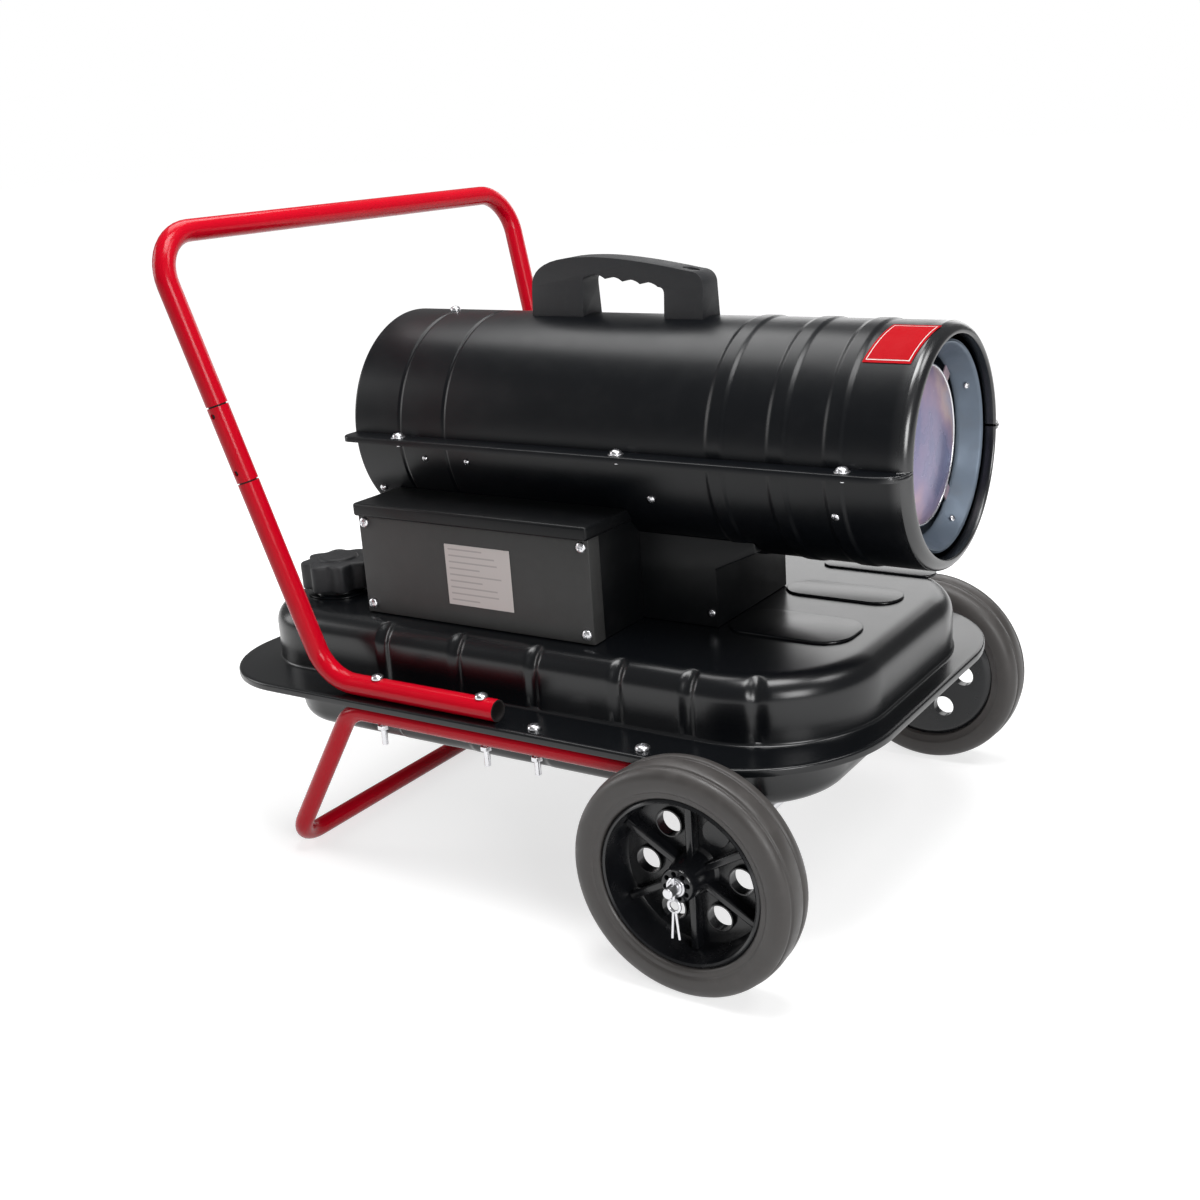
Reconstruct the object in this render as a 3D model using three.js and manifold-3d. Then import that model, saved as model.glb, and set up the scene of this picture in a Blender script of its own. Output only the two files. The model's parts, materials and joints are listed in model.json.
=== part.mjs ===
// Portable forced air heater: an oil-fired burner barrel on a steel fuel tank, with two wheels,
// a rear foot and a push handle. Millimetres. +X is the hot outlet, +Y the heater's left, +Z up.
// While it is drawn, X = 0 is the wheel axle; the whole heater is then centred over its own footprint.
import * as THREE from "three";
import { mergeVertices } from "three/addons/utils/BufferGeometryUtils.js";
import Module from "manifold-3d";

const wasm = await Module();
wasm.setup();

// ---- Driving dimensions -------------------------------------------------------------------------
const gap = 0.3; // running or seating clearance between two pieces
const sides = [["right", -1], ["left", 1]];
const past = 9; // how far a cut runs beyond the sheet that it opens
const bite = 1; // how far joined shapes run into each other
const round = { large: 32, medium: 18, small: 8, tube: 10, hex: 6 }; // facets round a piece

const wheel = { diameter: 250, tyreWidth: 54, tyreDepth: 34, span: 700, holeCount: 6, holeDiameter: 27 };
const tread = { shoulder: 9, crown: 2, edgeShare: 0.7, flatShare: 0.4 };
const hub = { width: 48, bossDiameter: 46, rimWall: 6, webThickness: 7, webInset: 1 };
const rib = { count: 6, thickness: 8, rise: 13, root: 2 };
const axle = { diameter: 16, overhang: 12, washerThickness: 2.5, washerDiameter: 30 };
const pin = { diameter: 3.6, clearance: 1, reach: 4, eye: 6.5, tail: 30, spread: 1.2, flare: 3, facets: 6 };

const standTube = { diameter: 22, wall: 2, bend: 42, footX: -603, kneeX: -483, jointX: -360, tail: 8 };
const standJoint = { spigot: 30, neck: 5 };
const pushTube = { diameter: 25, wall: 2, bend: 52, endX: -265, kneeX: -512 };
const handle = { topX: -644, topZ: 753, topHalfWidth: 322, lowerJointZ: 478, upperJointZ: 565, spigot: 32 };
const bolt = { diameter: 8, headDiameter: 14, headHeight: 5, tail: 4 };
const handleBoltX = [-435, -286];
const tankBoltX = [-217, -80];

const flange = { frontX: 136, length: 851, topZ: 226, frontCorner: 165, rearCorner: 120, skirt: 9 };
const tyreClearance = 8; // from each tyre to the flange
const tank = { sheet: 1.2, topZ: 297, bottomZ: 150, shoulder: 26 };
const ledge = { side: 60, front: 26, rear: 36 };
const lowerPan = { sideInset: 46, frontInset: 40, rearInset: 46, draft: 18, corner: 22 };
const boltRow = { inset: 18 };

const filler = { fromRear: 108, y: -134, boreRadius: 30, wall: 3.5, height: 26, drop: 10 };
const collar = { width: 8, thickness: 2 };
const cap = { radius: 38, lobeRadius: 9, lobes: 8, height: 34, discRadius: 24, discHeight: 4, top: 12 };
const sealThickness = 3;
const strainer = { radius: 26, wall: 1.2, depth: 60, rimInset: 1 };
const drain = { x: 20, y: 0, radius: 12, height: 8, plugRadius: 8, socketRadius: 4, socketDepth: 6 };

const barrel = { radius: 131, sheet: 1.2, axisZ: 501, mouthX: 158, length: 715, seamWidth: 26 };
const mouthLip = { depth: 9, thickness: 3 };
const seamScrew = { x: [-478, -173, 93], holeRadius: 2.6 };
const carry = {
  rearX: -360,
  frontX: -129,
  width: 34,
  height: 66,
  rearFoot: 72,
  frontFoot: 50,
  grip: 22,
  slope: 16,
  rearBend: 34,
  frontBend: 16,
  chamfer: 6,
  fall: 11,
};
const guard = { rings: 4, spokes: 3, ringGap: 20, bar: 6, thickness: 3, hub: 16, inset: 4 };

const chamber = { radius: 112, sheet: 1.2, rearX: -270, frontX: 146, throat: 40 };
const stud = { count: 4, x: -40, radius: 5 };
const outlet = { innerRadius: 98, depth: 24, sheet: 2 };
const deflector = { radius: 86, sheet: 2, dish: 10, bendShare: 0.5, bendRise: 0.75 };
const tabs = { count: 4, width: 16, overlap: 4 };
const burner = { plateRadius: 60, plate: 3, cupRadius: 39, cupDepth: 30, cupWall: 2 };
const nozzle = { radius: 8, length: 34, bore: 1.5, rear: 8 };
const igniter = { rodRadius: 2, spread: 8, offset: 20, rodLength: 42, root: 2 };
const insulator = { length: 18, skirt: 5, top: 10 };
const photocell = { radius: 7, length: 24, offset: 48, window: 3 };

const motor = { radius: 48, wall: 5, rearX: -470, length: 104, drumRadius: 30, drumGap: 6 };
const shaft = { radius: 5, clearance: 1, endInset: 4 };
const fan = { radius: 115, hubRadius: 24, depth: 32, rearX: -362 };
const blade = { count: 5, thickness: 2.5, pitch: 32, root: 3, chordShare: 1.6 };
const pump = { radius: 42, bore: 32, depth: 40, end: 6, rotorRadius: 28, rotorInset: 2 };
const vane = { slotShare: 0.5, slotHalf: 1.5 };
const filterCover = { depth: 12, wall: 3, inset: 6, holeRadius: 3, holeY: 20 };
const bracket = { length: 56, halfWidth: 34, wall: 4, foot: 14, saddle: 8 };

const housing = { rearX: -520, frontX: -90, halfWidth: 85, sheet: 1.2, topUnderAxis: 50 };
const flare = { underZ: 365, reach: 50, rise: 23 };
const wireHole = { x: -300, rise: 40, radius: 12 };
const box = { rearX: -512, frontX: -186, faceY: 190, topZ: 432, sheet: 1.2, trayGap: 4 };
const cover = { depth: 22, lip: 6 };
const plate = { x: -339, z: 359, width: 92, height: 72, thickness: 0.8 };
const knob = { x: -250, z: 372, radius: 17, depth: 15, shaftRadius: 4, shaftDepth: 12 };
const pointer = { halfWidth: 1.2, rise: 1.2, from: 3, margin: 2 };
const rocker = { x: -320, z: 372, width: 14, height: 26, back: 4, front: 6, clearance: 1.4 };
const pivot = { radius: 1.6, depth: 3, reach: 2, slack: 0.4 };
const switchFrame = { width: 4, depth: 14, front: 2 };
const gland = { radius: 11, length: 18, bore: 4.5, y: 140, rise: 33, thread: 8, step: 3 };
const transformer = { x: -440, length: 70, depth: 44, height: 60 };
const board = { x: -300, length: 120, height: 46, thickness: 2, standoff: 8, rise: 5 };
const boardPost = { radius: 3, inset: 8, rise: 20 };
const fuelLine = { x: -315, radius: 3, bend: 12, pickup: 14, shellSlack: 1, housingSlack: 2 };
const airLine = { radius: 2.5, bend: 12, wallClearance: 4, straight: 2, plateInset: 20 };
const label = { rearX: 92, length: 56, fromDegrees: 50, toDegrees: 81, thickness: 0.6 };

// ---- Sizes that follow from them ----------------------------------------------------------------
const wheelRadius = wheel.diameter / 2;
const axleZ = wheelRadius;
const wheelY = (wheel.span - wheel.tyreWidth) / 2;
const rimRadius = wheelRadius - wheel.tyreDepth;
const standRadius = standTube.diameter / 2;
const pushRadius = pushTube.diameter / 2;
const flangeRearX = flange.frontX - flange.length;
const flangeHalfWidth = wheel.span / 2 - wheel.tyreWidth - tyreClearance;
const boltY = flangeHalfWidth - boltRow.inset;
const flangeUnderZ = flange.topZ - flange.skirt;
const railZ = flangeUnderZ - gap - standRadius;
const pushZ = flange.topZ + gap + pushRadius;
const barrelRearX = barrel.mouthX - barrel.length;
const innerBarrel = barrel.radius - barrel.sheet;
const plateFaceX = chamber.rearX - gap;
const burnerRearX = plateFaceX - burner.plate;
const motorFrontX = motor.rearX + motor.length;
const pumpFrontX = motor.rearX - gap;
const pumpRearX = pumpFrontX - pump.depth;
const fillerX = flangeRearX + filler.fromRear;
const glandZ = tank.topZ + gland.rise;
const neckTopZ = tank.topZ + filler.height;

// ---- Colours ------------------------------------------------------------------------------------
const finish = (color, roughness, metalness) =>
  new THREE.MeshStandardMaterial({ color, roughness, metalness });
const red = finish(0xc40d1e, 0.25, 0.1);
const blackPaint = finish(0x15161a, 0.35, 0.2);
const blackSheet = finish(0x1b1c20, 0.5, 0.2);
const rubber = finish(0x2c2a29, 0.85, 0);
const blackPlastic = finish(0x17181a, 0.6, 0);
const zinc = finish(0xc9cbcf, 0.3, 0.9);
const heatedSteel = finish(0x6f6580, 0.4, 0.8);
const chamberSteel = finish(0x6d7887, 0.45, 0.8);
const aluminium = finish(0xa9adb2, 0.5, 0.9);
const paleFilm = finish(0xd9d5d3, 0.6, 0);
const brass = finish(0xb9954a, 0.35, 0.9);
const ceramic = finish(0xe6e1d6, 0.5, 0);
const greenBoard = finish(0x23563a, 0.6, 0);
const copper = finish(0xb06a42, 0.4, 0.9);
const steelMesh = finish(0x9a9ea3, 0.5, 0.8);

// ---- Solids -------------------------------------------------------------------------------------
function toSolid(geometry) {
  const bare = new THREE.BufferGeometry();
  const source = geometry.index ? geometry.toNonIndexed() : geometry;
  bare.setAttribute("position", source.getAttribute("position"));
  const merged = mergeVertices(bare, 1e-4);
  const triVerts = new Uint32Array(merged.index.array);
  return new wasm.Manifold(
    new wasm.Mesh({ numProp: 3, vertProperties: merged.attributes.position.array, triVerts }),
  );
}

function toGeometry(solid) {
  const mesh = solid.getMesh();
  const geometry = new THREE.BufferGeometry();
  geometry.setAttribute("position", new THREE.BufferAttribute(mesh.vertProperties, 3));
  geometry.setIndex(new THREE.BufferAttribute(mesh.triVerts, 1));
  geometry.computeVertexNormals();
  return geometry;
}

const join = (first, ...rest) => rest.reduce((sum, next) => sum.add(next), first);
const cut = (first, ...rest) => rest.reduce((left, next) => left.subtract(next), first);

function block([x0, x1], [y0, y1], [z0, z1]) {
  const geometry = new THREE.BoxGeometry(x1 - x0, y1 - y0, z1 - z0);
  return toSolid(geometry.translate((x0 + x1) / 2, (y0 + y1) / 2, (z0 + z1) / 2));
}

const towards = {
  x: new THREE.Matrix4().makeRotationZ(-Math.PI / 2),
  y: new THREE.Matrix4(),
  z: new THREE.Matrix4().makeRotationX(Math.PI / 2),
};

// A rod along one axis, from one place on it to another, centred on the two other coordinates.
function rod(axis, radius, [from, to], [u, v], facets = round.medium) {
  const geometry = new THREE.CylinderGeometry(radius, radius, to - from, facets);
  const middle = (from + to) / 2;
  const place = { x: [middle, u, v], y: [u, middle, v], z: [u, v, middle] }[axis];
  return toSolid(geometry.applyMatrix4(towards[axis]).translate(...place));
}

// A turned piece: its profile is a closed loop of [radius, place along the axis].
function turned(axis, profile, [u, v], facets = round.large) {
  const points = profile.map(([radius, along]) => new THREE.Vector2(radius, along));
  const ordered = THREE.ShapeUtils.area(points) > 0 ? points : points.reverse();
  const geometry = new THREE.LatheGeometry([...ordered, ordered[0]], facets);
  const place = { x: [0, u, v], y: [u, 0, v], z: [u, v, 0] }[axis];
  const along = axis === "z" ? towards.z : towards[axis];
  return toSolid(geometry.applyMatrix4(along).translate(...place));
}

const pipe = (axis, outer, inner, span, at, facets) =>
  cut(rod(axis, outer, span, at, facets), rod(axis, inner, [span[0] - bite, span[1] + bite], at, facets));

// A path with straight runs and a round bend at each inner corner.
function bentPath(corners, bend, steps = 4) {
  const path = [corners[0]];
  corners.slice(1, -1).forEach((corner, i) => {
    const back = corners[i].clone().sub(corner).normalize();
    const on = corners[i + 2].clone().sub(corner).normalize();
    const half = back.angleTo(on) / 2;
    const centre = back.clone().add(on).normalize().multiplyScalar(bend / Math.sin(half)).add(corner);
    const start = back.clone().multiplyScalar(bend / Math.tan(half)).add(corner).sub(centre);
    const pivot = new THREE.Vector3().crossVectors(on, back).normalize();
    for (let step = 0; step <= steps; step += 1) {
      const turn = ((Math.PI - 2 * half) * step) / steps;
      path.push(start.clone().applyAxisAngle(pivot, turn).add(centre));
    }
  });
  return [...path, corners.at(-1)];
}

// Joins equal rings of points into one closed surface, with a flat cap at each end.
function skinned(rings) {
  const count = rings[0].length;
  const middleOf = (ring) => ring.reduce((sum, p) => sum.add(p), new THREE.Vector3()).divideScalar(count);
  const points = [...rings.flat(), middleOf(rings[0]), middleOf(rings.at(-1))];
  const index = [];
  for (let i = 0; i < count; i += 1) {
    const next = (i + 1) % count;
    for (let r = 0; r + 1 < rings.length; r += 1) {
      const low = r * count;
      const high = low + count;
      index.push(low + i, low + next, high + next, low + i, high + next, high + i);
    }
    const last = (rings.length - 1) * count;
    index.push(rings.length * count, next, i);
    index.push(rings.length * count + 1, last + i, last + next);
  }
  const geometry = new THREE.BufferGeometry().setFromPoints(points);
  geometry.setIndex(index);
  return toSolid(geometry);
}

// A round bar swept along a path.
function swept(path, radius, facets = round.tube) {
  const along = path.map((_, i) => {
    const next = path[Math.min(i + 1, path.length - 1)];
    return next.clone().sub(path[Math.max(i - 1, 0)]).normalize();
  });
  let across = new THREE.Vector3(0, 1, 0).cross(along[0]);
  if (across.length() < 0.1) across = new THREE.Vector3(0, 0, 1).cross(along[0]);
  const rings = path.map((point, i) => {
    across.addScaledVector(along[i], -across.dot(along[i])).normalize();
    const other = along[i].clone().cross(across);
    return Array.from({ length: facets }, (_, k) => {
      const angle = (2 * Math.PI * k) / facets;
      const spoke = across.clone().multiplyScalar(Math.cos(angle) * radius);
      return spoke.addScaledVector(other, Math.sin(angle) * radius).add(point);
    });
  });
  return skinned(rings);
}

// A flat shape drawn in X and Z, given a width along Y about the middle plane.
function slabAlongY(shape, width) {
  const geometry = new THREE.ExtrudeGeometry(shape, { depth: width, bevelEnabled: false, curveSegments: 6 });
  geometry.applyMatrix4(new THREE.Matrix4().makeRotationX(Math.PI / 2)).translate(0, width / 2, 0);
  return toSolid(geometry);
}

const at = (x, y, z) => new THREE.Vector3(x, y, z);
const between = (a, b, share) => a.clone().lerp(b, share);

// The space inside a bent tube, which runs a little past both of its ends.
function boreOf(path, radius) {
  const beyond = (end, next) => end.clone().sub(next).normalize().add(end);
  const longer = [beyond(path[0], path[1]), ...path, beyond(path.at(-1), path.at(-2))];
  return swept(longer, radius, round.small);
}

// A rounded rectangle at one height, corners of one radius in front and another behind.
function panRing(rearX, frontX, halfWidth, rearCorner, frontCorner, z) {
  const steps = 4;
  const ring = [];
  const corner = (x, y, radius, from) => {
    for (let i = 0; i <= steps; i += 1) {
      const angle = from + (Math.PI / 2) * (i / steps);
      ring.push(at(x + radius * Math.cos(angle), y + radius * Math.sin(angle), z));
    }
  };
  corner(frontX - frontCorner, halfWidth - frontCorner, frontCorner, 0);
  corner(rearX + rearCorner, halfWidth - rearCorner, rearCorner, Math.PI / 2);
  corner(rearX + rearCorner, rearCorner - halfWidth, rearCorner, Math.PI);
  corner(frontX - frontCorner, frontCorner - halfWidth, frontCorner, 1.5 * Math.PI);
  return ring;
}

const heater = new THREE.Group();

function add(name, solid, material, parent = heater) {
  const mesh = new THREE.Mesh(toGeometry(solid), material);
  mesh.name = name;
  parent.add(mesh);
  return mesh;
}

// ---- Wheels and axle ----------------------------------------------------------------------------
function makeWheel(name, side) {
  const group = new THREE.Group();
  group.position.set(0, side * wheelY, axleZ);
  group.rotation.z = side < 0 ? Math.PI : 0;
  const half = wheel.tyreWidth / 2;
  const { shoulder, crown, edgeShare, flatShare } = tread;
  const tyreProfile = [
    [rimRadius, -half + shoulder],
    [rimRadius + shoulder, -half],
    [wheelRadius - shoulder, -half],
    [wheelRadius - crown, -half + shoulder * edgeShare],
    [wheelRadius, -half * flatShare],
    [wheelRadius, half * flatShare],
    [wheelRadius - crown, half - shoulder * edgeShare],
    [wheelRadius - shoulder, half],
    [rimRadius + shoulder, half],
    [rimRadius, half - shoulder],
  ];
  add(`tyre_${name}`, turned("y", tyreProfile, [0, 0], round.large), rubber, group);

  const hubHalf = hub.width / 2;
  const rimOuter = rimRadius - gap;
  const rimInner = rimOuter - hub.rimWall;
  const boss = hub.bossDiameter / 2;
  const webY = hub.webInset - hubHalf;
  const bore = axle.diameter / 2 + gap;
  const holeRadius = wheel.holeDiameter / 2;
  const holeCircle = (boss + rimInner) / 2;
  const rim = pipe("y", rimOuter, rimInner, [-half + shoulder, half - shoulder], [0, 0], round.large);
  const web = rod("y", rimInner + bite, [webY, webY + hub.webThickness], [0, 0], round.large);
  const bossRod = rod("y", boss, [-hubHalf, hubHalf], [0, 0], round.medium);
  let body = join(rim, web, bossRod);
  for (let i = 0; i < wheel.holeCount; i += 1) {
    const angle = (2 * Math.PI * i) / wheel.holeCount;
    const place = [holeCircle * Math.cos(angle), holeCircle * Math.sin(angle)];
    body = cut(body, rod("y", holeRadius, [-hubHalf, hubHalf], place, round.small));
  }
  for (let i = 0; i < rib.count; i += 1) {
    const angle = (2 * Math.PI * (i + 0.5)) / rib.count;
    const length = rimInner + bite - boss + rib.root;
    const depth = hub.webThickness + rib.rise;
    const ribBox = new THREE.BoxGeometry(length, depth, rib.thickness);
    ribBox.translate(boss - rib.root + length / 2, webY + depth / 2, 0);
    ribBox.applyMatrix4(new THREE.Matrix4().makeRotationY(angle));
    body = join(body, toSolid(ribBox));
  }
  body = cut(body, rod("y", bore, [-hubHalf - bite, hubHalf + bite], [0, 0], round.medium));
  add(`hub_${name}`, body, blackPlastic, group);
  heater.add(group);
}

const washerY = wheelY + hub.width / 2 + gap;
const pinY = washerY + axle.washerThickness + gap + pin.diameter / 2 + pin.clearance;
const axleEnd = pinY + axle.overhang;

function makePin(side) {
  const radius = pin.diameter / 2;
  const y = side * pinY;
  const reach = axle.diameter / 2 + pin.reach;
  const { eye } = pin;
  const eyeZ = axleZ - reach - eye;
  const shank = rod("z", radius, [axleZ - reach - radius, axleZ + reach], [0, y], round.small);
  const ring = new THREE.TorusGeometry(eye, radius, pin.facets, 2 * pin.facets);
  ring.applyMatrix4(new THREE.Matrix4().makeRotationX(Math.PI / 2)).translate(0, y, eyeZ);
  const tail = (lean) =>
    swept([at(lean, y, eyeZ - eye), at(lean * pin.flare, y, eyeZ - eye - pin.tail)], radius, pin.facets);
  return join(shank, toSolid(ring), tail(-pin.spread), tail(pin.spread));
}

function makeRunningGear() {
  const radius = axle.diameter / 2;
  const pinHole = pin.diameter / 2 + gap;
  let bar = rod("y", radius, [-axleEnd, axleEnd], [0, axleZ], round.medium);
  const throughBar = [axleZ - radius - bite, axleZ + radius + bite];
  sides.forEach(([, side]) => {
    bar = cut(bar, rod("z", pinHole, throughBar, [0, side * pinY], round.small));
  });
  add("axle", bar, zinc);
  sides.forEach(([name, side]) => {
    makeWheel(name, side);
    const span = [washerY, washerY + axle.washerThickness].map((y) => y * side).sort((a, b) => a - b);
    const washer = pipe("y", axle.washerDiameter / 2, radius + gap, span, [0, axleZ], round.medium);
    add(`washer_${name}`, washer, zinc);
    add(`ring_pin_${name}`, makePin(side), zinc);
  });
}

// ---- Stand and push handle ----------------------------------------------------------------------
const boltHole = (x, y, [from, to]) => rod("z", bolt.diameter / 2 + gap, [from, to], [x, y], round.small);

// A bolt through the flange seam and the stand's tube, its nut below.
function boltSolid(x, y, headZ) {
  const nutTop = railZ - standRadius - gap;
  const nutBottom = nutTop - bolt.headHeight;
  return join(
    rod("z", bolt.headDiameter / 2, [headZ, headZ + bolt.headHeight], [x, y], round.hex),
    rod("z", bolt.diameter / 2, [nutBottom - bolt.tail, headZ + bite], [x, y], round.small),
    rod("z", bolt.headDiameter / 2, [nutBottom, nutTop], [x, y], round.hex),
  );
}

function makeStand() {
  const bore = standRadius - standTube.wall;
  const foot = [
    at(standTube.jointX, -boltY, railZ),
    at(standTube.kneeX, -boltY, railZ),
    at(standTube.footX, -boltY, standRadius),
    at(standTube.footX, boltY, standRadius),
    at(standTube.kneeX, boltY, railZ),
    at(standTube.jointX, boltY, railZ),
  ];
  const footPath = bentPath(foot, standTube.bend);
  let frame = cut(swept(footPath, standRadius), boreOf(footPath, bore));
  sides.forEach(([name, side]) => {
    const y = side * boltY;
    const start = standTube.jointX + gap;
    const socket = [standTube.jointX - standJoint.spigot - past, standTube.jointX + bite];
    frame = cut(frame, rod("x", bore, socket, [y, railZ], round.small));
    frame = cut(frame, boltHole(handleBoltX[0], y, [railZ - standRadius - bite, railZ + standRadius + bite]));
    const end = axleZ - axle.diameter / 2 - standTube.tail;
    const path = bentPath([at(start, y, railZ), at(0, y, railZ), at(0, y, end)], standTube.bend);
    const neckX = start + standJoint.neck;
    const borePath = [at(neckX, y, railZ), ...path.slice(1)];
    const spigotBore = bore - gap - standTube.wall;
    let rail = cut(swept(path, standRadius), boreOf(borePath, bore));
    const spigotEnd = start - standJoint.spigot;
    rail = join(rail, rod("x", bore - gap, [spigotEnd, start + 2 * bite], [y, railZ], round.small));
    rail = cut(rail, rod("x", spigotBore, [spigotEnd - bite, neckX + bite], [y, railZ], round.small));
    rail = cut(rail, boltHole(handleBoltX[1], y, [railZ - standRadius - bite, railZ + standRadius + bite]));
    tankBoltX.forEach((x) => {
      rail = join(rail, boltSolid(x, y, flange.topZ + gap));
    });
    const across = [y - standRadius - bite, y + standRadius + bite];
    rail = cut(rail, rod("y", axle.diameter / 2 + gap, across, [0, axleZ], round.medium));
    add(`side_rail_${name}`, rail, red);
  });
  add("foot_frame", frame, red);
}

// The handle's leg leans back and out, from the knee on the flange up to the top corner.
function makePushHandle() {
  const bore = pushRadius - pushTube.wall;
  const legPoint = (side, z) => {
    const knee = at(pushTube.kneeX, side * boltY, pushZ);
    const corner = at(handle.topX, side * handle.topHalfWidth, handle.topZ);
    return between(knee, corner, (z - pushZ) / (handle.topZ - pushZ));
  };
  const halfGap = gap / 2;
  const socketOf = (side, z, way) => {
    const reach = handle.spigot + past;
    return swept([legPoint(side, z - way), legPoint(side, z + way * reach)], bore, round.small);
  };
  sides.forEach(([name, side]) => {
    const { lowerJointZ: low, upperJointZ: high, spigot } = handle;
    const corners = [
      at(pushTube.endX, side * boltY, pushZ),
      at(pushTube.kneeX, side * boltY, pushZ),
      legPoint(side, low - halfGap),
    ];
    const legPath = bentPath(corners, pushTube.bend);
    let leg = cut(swept(legPath, pushRadius), boreOf(legPath, bore), socketOf(side, low, -1));
    handleBoltX.forEach((x) => {
      leg = cut(leg, boltHole(x, side * boltY, [pushZ - pushRadius - bite, pushZ + pushRadius + bite]));
    });
    add(`handle_leg_${name}`, leg, red);
    const middle = swept([legPoint(side, low + halfGap), legPoint(side, high - halfGap)], pushRadius);
    const spigotPath = [legPoint(side, low - spigot), legPoint(side, high + spigot)];
    const spigots = swept(spigotPath, bore - gap, round.small);
    const through = boreOf(spigotPath, bore - gap - pushTube.wall);
    add(`handle_sleeve_${name}`, cut(join(middle, spigots), through), red);
  });
  const top = (side) => at(handle.topX, side * handle.topHalfWidth, handle.topZ);
  const bow = [
    legPoint(-1, handle.upperJointZ + halfGap),
    top(-1),
    top(1),
    legPoint(1, handle.upperJointZ + halfGap),
  ];
  const bowPath = bentPath(bow, pushTube.bend);
  let upper = cut(swept(bowPath, pushRadius), boreOf(bowPath, bore));
  sides.forEach(([, side]) => {
    upper = cut(upper, socketOf(side, handle.upperJointZ, 1));
  });
  add("handle_upper", upper, red);
}

function makeBolts() {
  sides.forEach(([name, side]) => {
    handleBoltX.forEach((x, i) => {
      add(`handle_bolt_${name}_${i + 1}`, boltSolid(x, side * boltY, pushZ + pushRadius + gap), zinc);
    });
  });
}

// ---- Fuel tank ----------------------------------------------------------------------------------
const flangeRing = (inset, z) =>
  panRing(
    flangeRearX + inset,
    flange.frontX - inset,
    flangeHalfWidth - inset,
    flange.rearCorner - inset,
    flange.frontCorner - inset,
    z,
  );

const wallRing = (inset, z) =>
  panRing(
    flangeRearX + ledge.rear + inset,
    flange.frontX - ledge.front - inset,
    flangeHalfWidth - ledge.side - inset,
    flange.rearCorner - ledge.rear - inset / 2,
    flange.frontCorner - ledge.front - inset,
    z,
  );

const lowerRing = (inset, z) =>
  panRing(
    flangeRearX + lowerPan.rearInset + inset,
    flange.frontX - lowerPan.frontInset - inset,
    flangeHalfWidth - lowerPan.sideInset - inset,
    flange.rearCorner - lowerPan.rearInset / 2 - inset,
    flange.frontCorner - lowerPan.frontInset - inset,
    z,
  );

// The shoulder's quarter round, as pairs of inset and drop below the top.
function shoulderSteps(radius, steps = 3) {
  return Array.from({ length: steps + 1 }, (_, i) => {
    const angle = (Math.PI / 2) * (i / steps);
    return [radius * (1 - Math.sin(angle)), radius * (1 - Math.cos(angle))];
  });
}

const seamBolts = (from, to) =>
  sides.flatMap(([, side]) =>
    [...handleBoltX, ...tankBoltX].map((x) => boltHole(x, side * boltY, [from, to])),
  );

function makeTank() {
  const { sheet, shoulder, topZ } = tank;
  const outer = shoulderSteps(shoulder).map(([inset, drop]) => wallRing(inset, topZ - drop));
  const inner = shoulderSteps(shoulder - sheet).map(([inset, drop]) =>
    wallRing(inset + sheet, topZ - sheet - drop),
  );
  const upper = skinned([
    ...outer,
    wallRing(0, flange.topZ),
    flangeRing(0, flange.topZ),
    flangeRing(0, flangeUnderZ),
    flangeRing(sheet, flangeUnderZ),
    flangeRing(sheet, flange.topZ - sheet),
    wallRing(sheet, flange.topZ - sheet),
    ...inner.reverse(),
  ].reverse());
  const throughTop = [topZ - past, topZ + past];
  const neckRadius = filler.boreRadius + filler.wall + gap;
  const neckHole = rod("z", neckRadius, throughTop, [fillerX, filler.y], round.medium);
  const lineHole = rod("z", fuelLine.radius + gap, throughTop, [fuelLine.x, 0], round.small);
  const upperBolts = seamBolts(flange.topZ - past, flange.topZ + past);
  add("tank_upper_pan", cut(upper, neckHole, lineHole, ...upperBolts), blackPaint);

  const seamZ = flange.topZ - sheet - gap;
  const { bottomZ } = tank;
  const lip = sheet + gap;
  const lowerOuter = shoulderSteps(lowerPan.corner).map(([inset, rise]) =>
    lowerRing(inset + lowerPan.draft, bottomZ + rise),
  );
  const lowerInner = shoulderSteps(lowerPan.corner - sheet).map(([inset, rise]) =>
    lowerRing(inset + lowerPan.draft + sheet, bottomZ + sheet + rise),
  );
  const lower = skinned([
    ...lowerOuter,
    lowerRing(0, seamZ - sheet),
    flangeRing(lip, seamZ - sheet),
    flangeRing(lip, seamZ),
    lowerRing(sheet, seamZ),
    ...lowerInner.reverse(),
  ]);
  const drainAt = [drain.x, drain.y];
  const drainHole = rod("z", drain.plugRadius + gap, [bottomZ - past, bottomZ + past], drainAt, round.small);
  add("tank_lower_pan", cut(lower, drainHole, ...seamBolts(seamZ - past, seamZ + past)), blackPaint);
  const bossZ = bottomZ + sheet + gap;
  const boss = rod("z", drain.radius, [bossZ, bossZ + drain.height], drainAt, round.medium);
  const plug = rod("z", drain.plugRadius, [bottomZ, bossZ + bite], drainAt, round.small);
  const socketRun = [bottomZ - bite, bottomZ + drain.socketDepth];
  const socket = rod("z", drain.socketRadius, socketRun, drainAt, round.hex);
  add("drain_plug", cut(join(boss, plug), socket), zinc);
}

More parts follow.
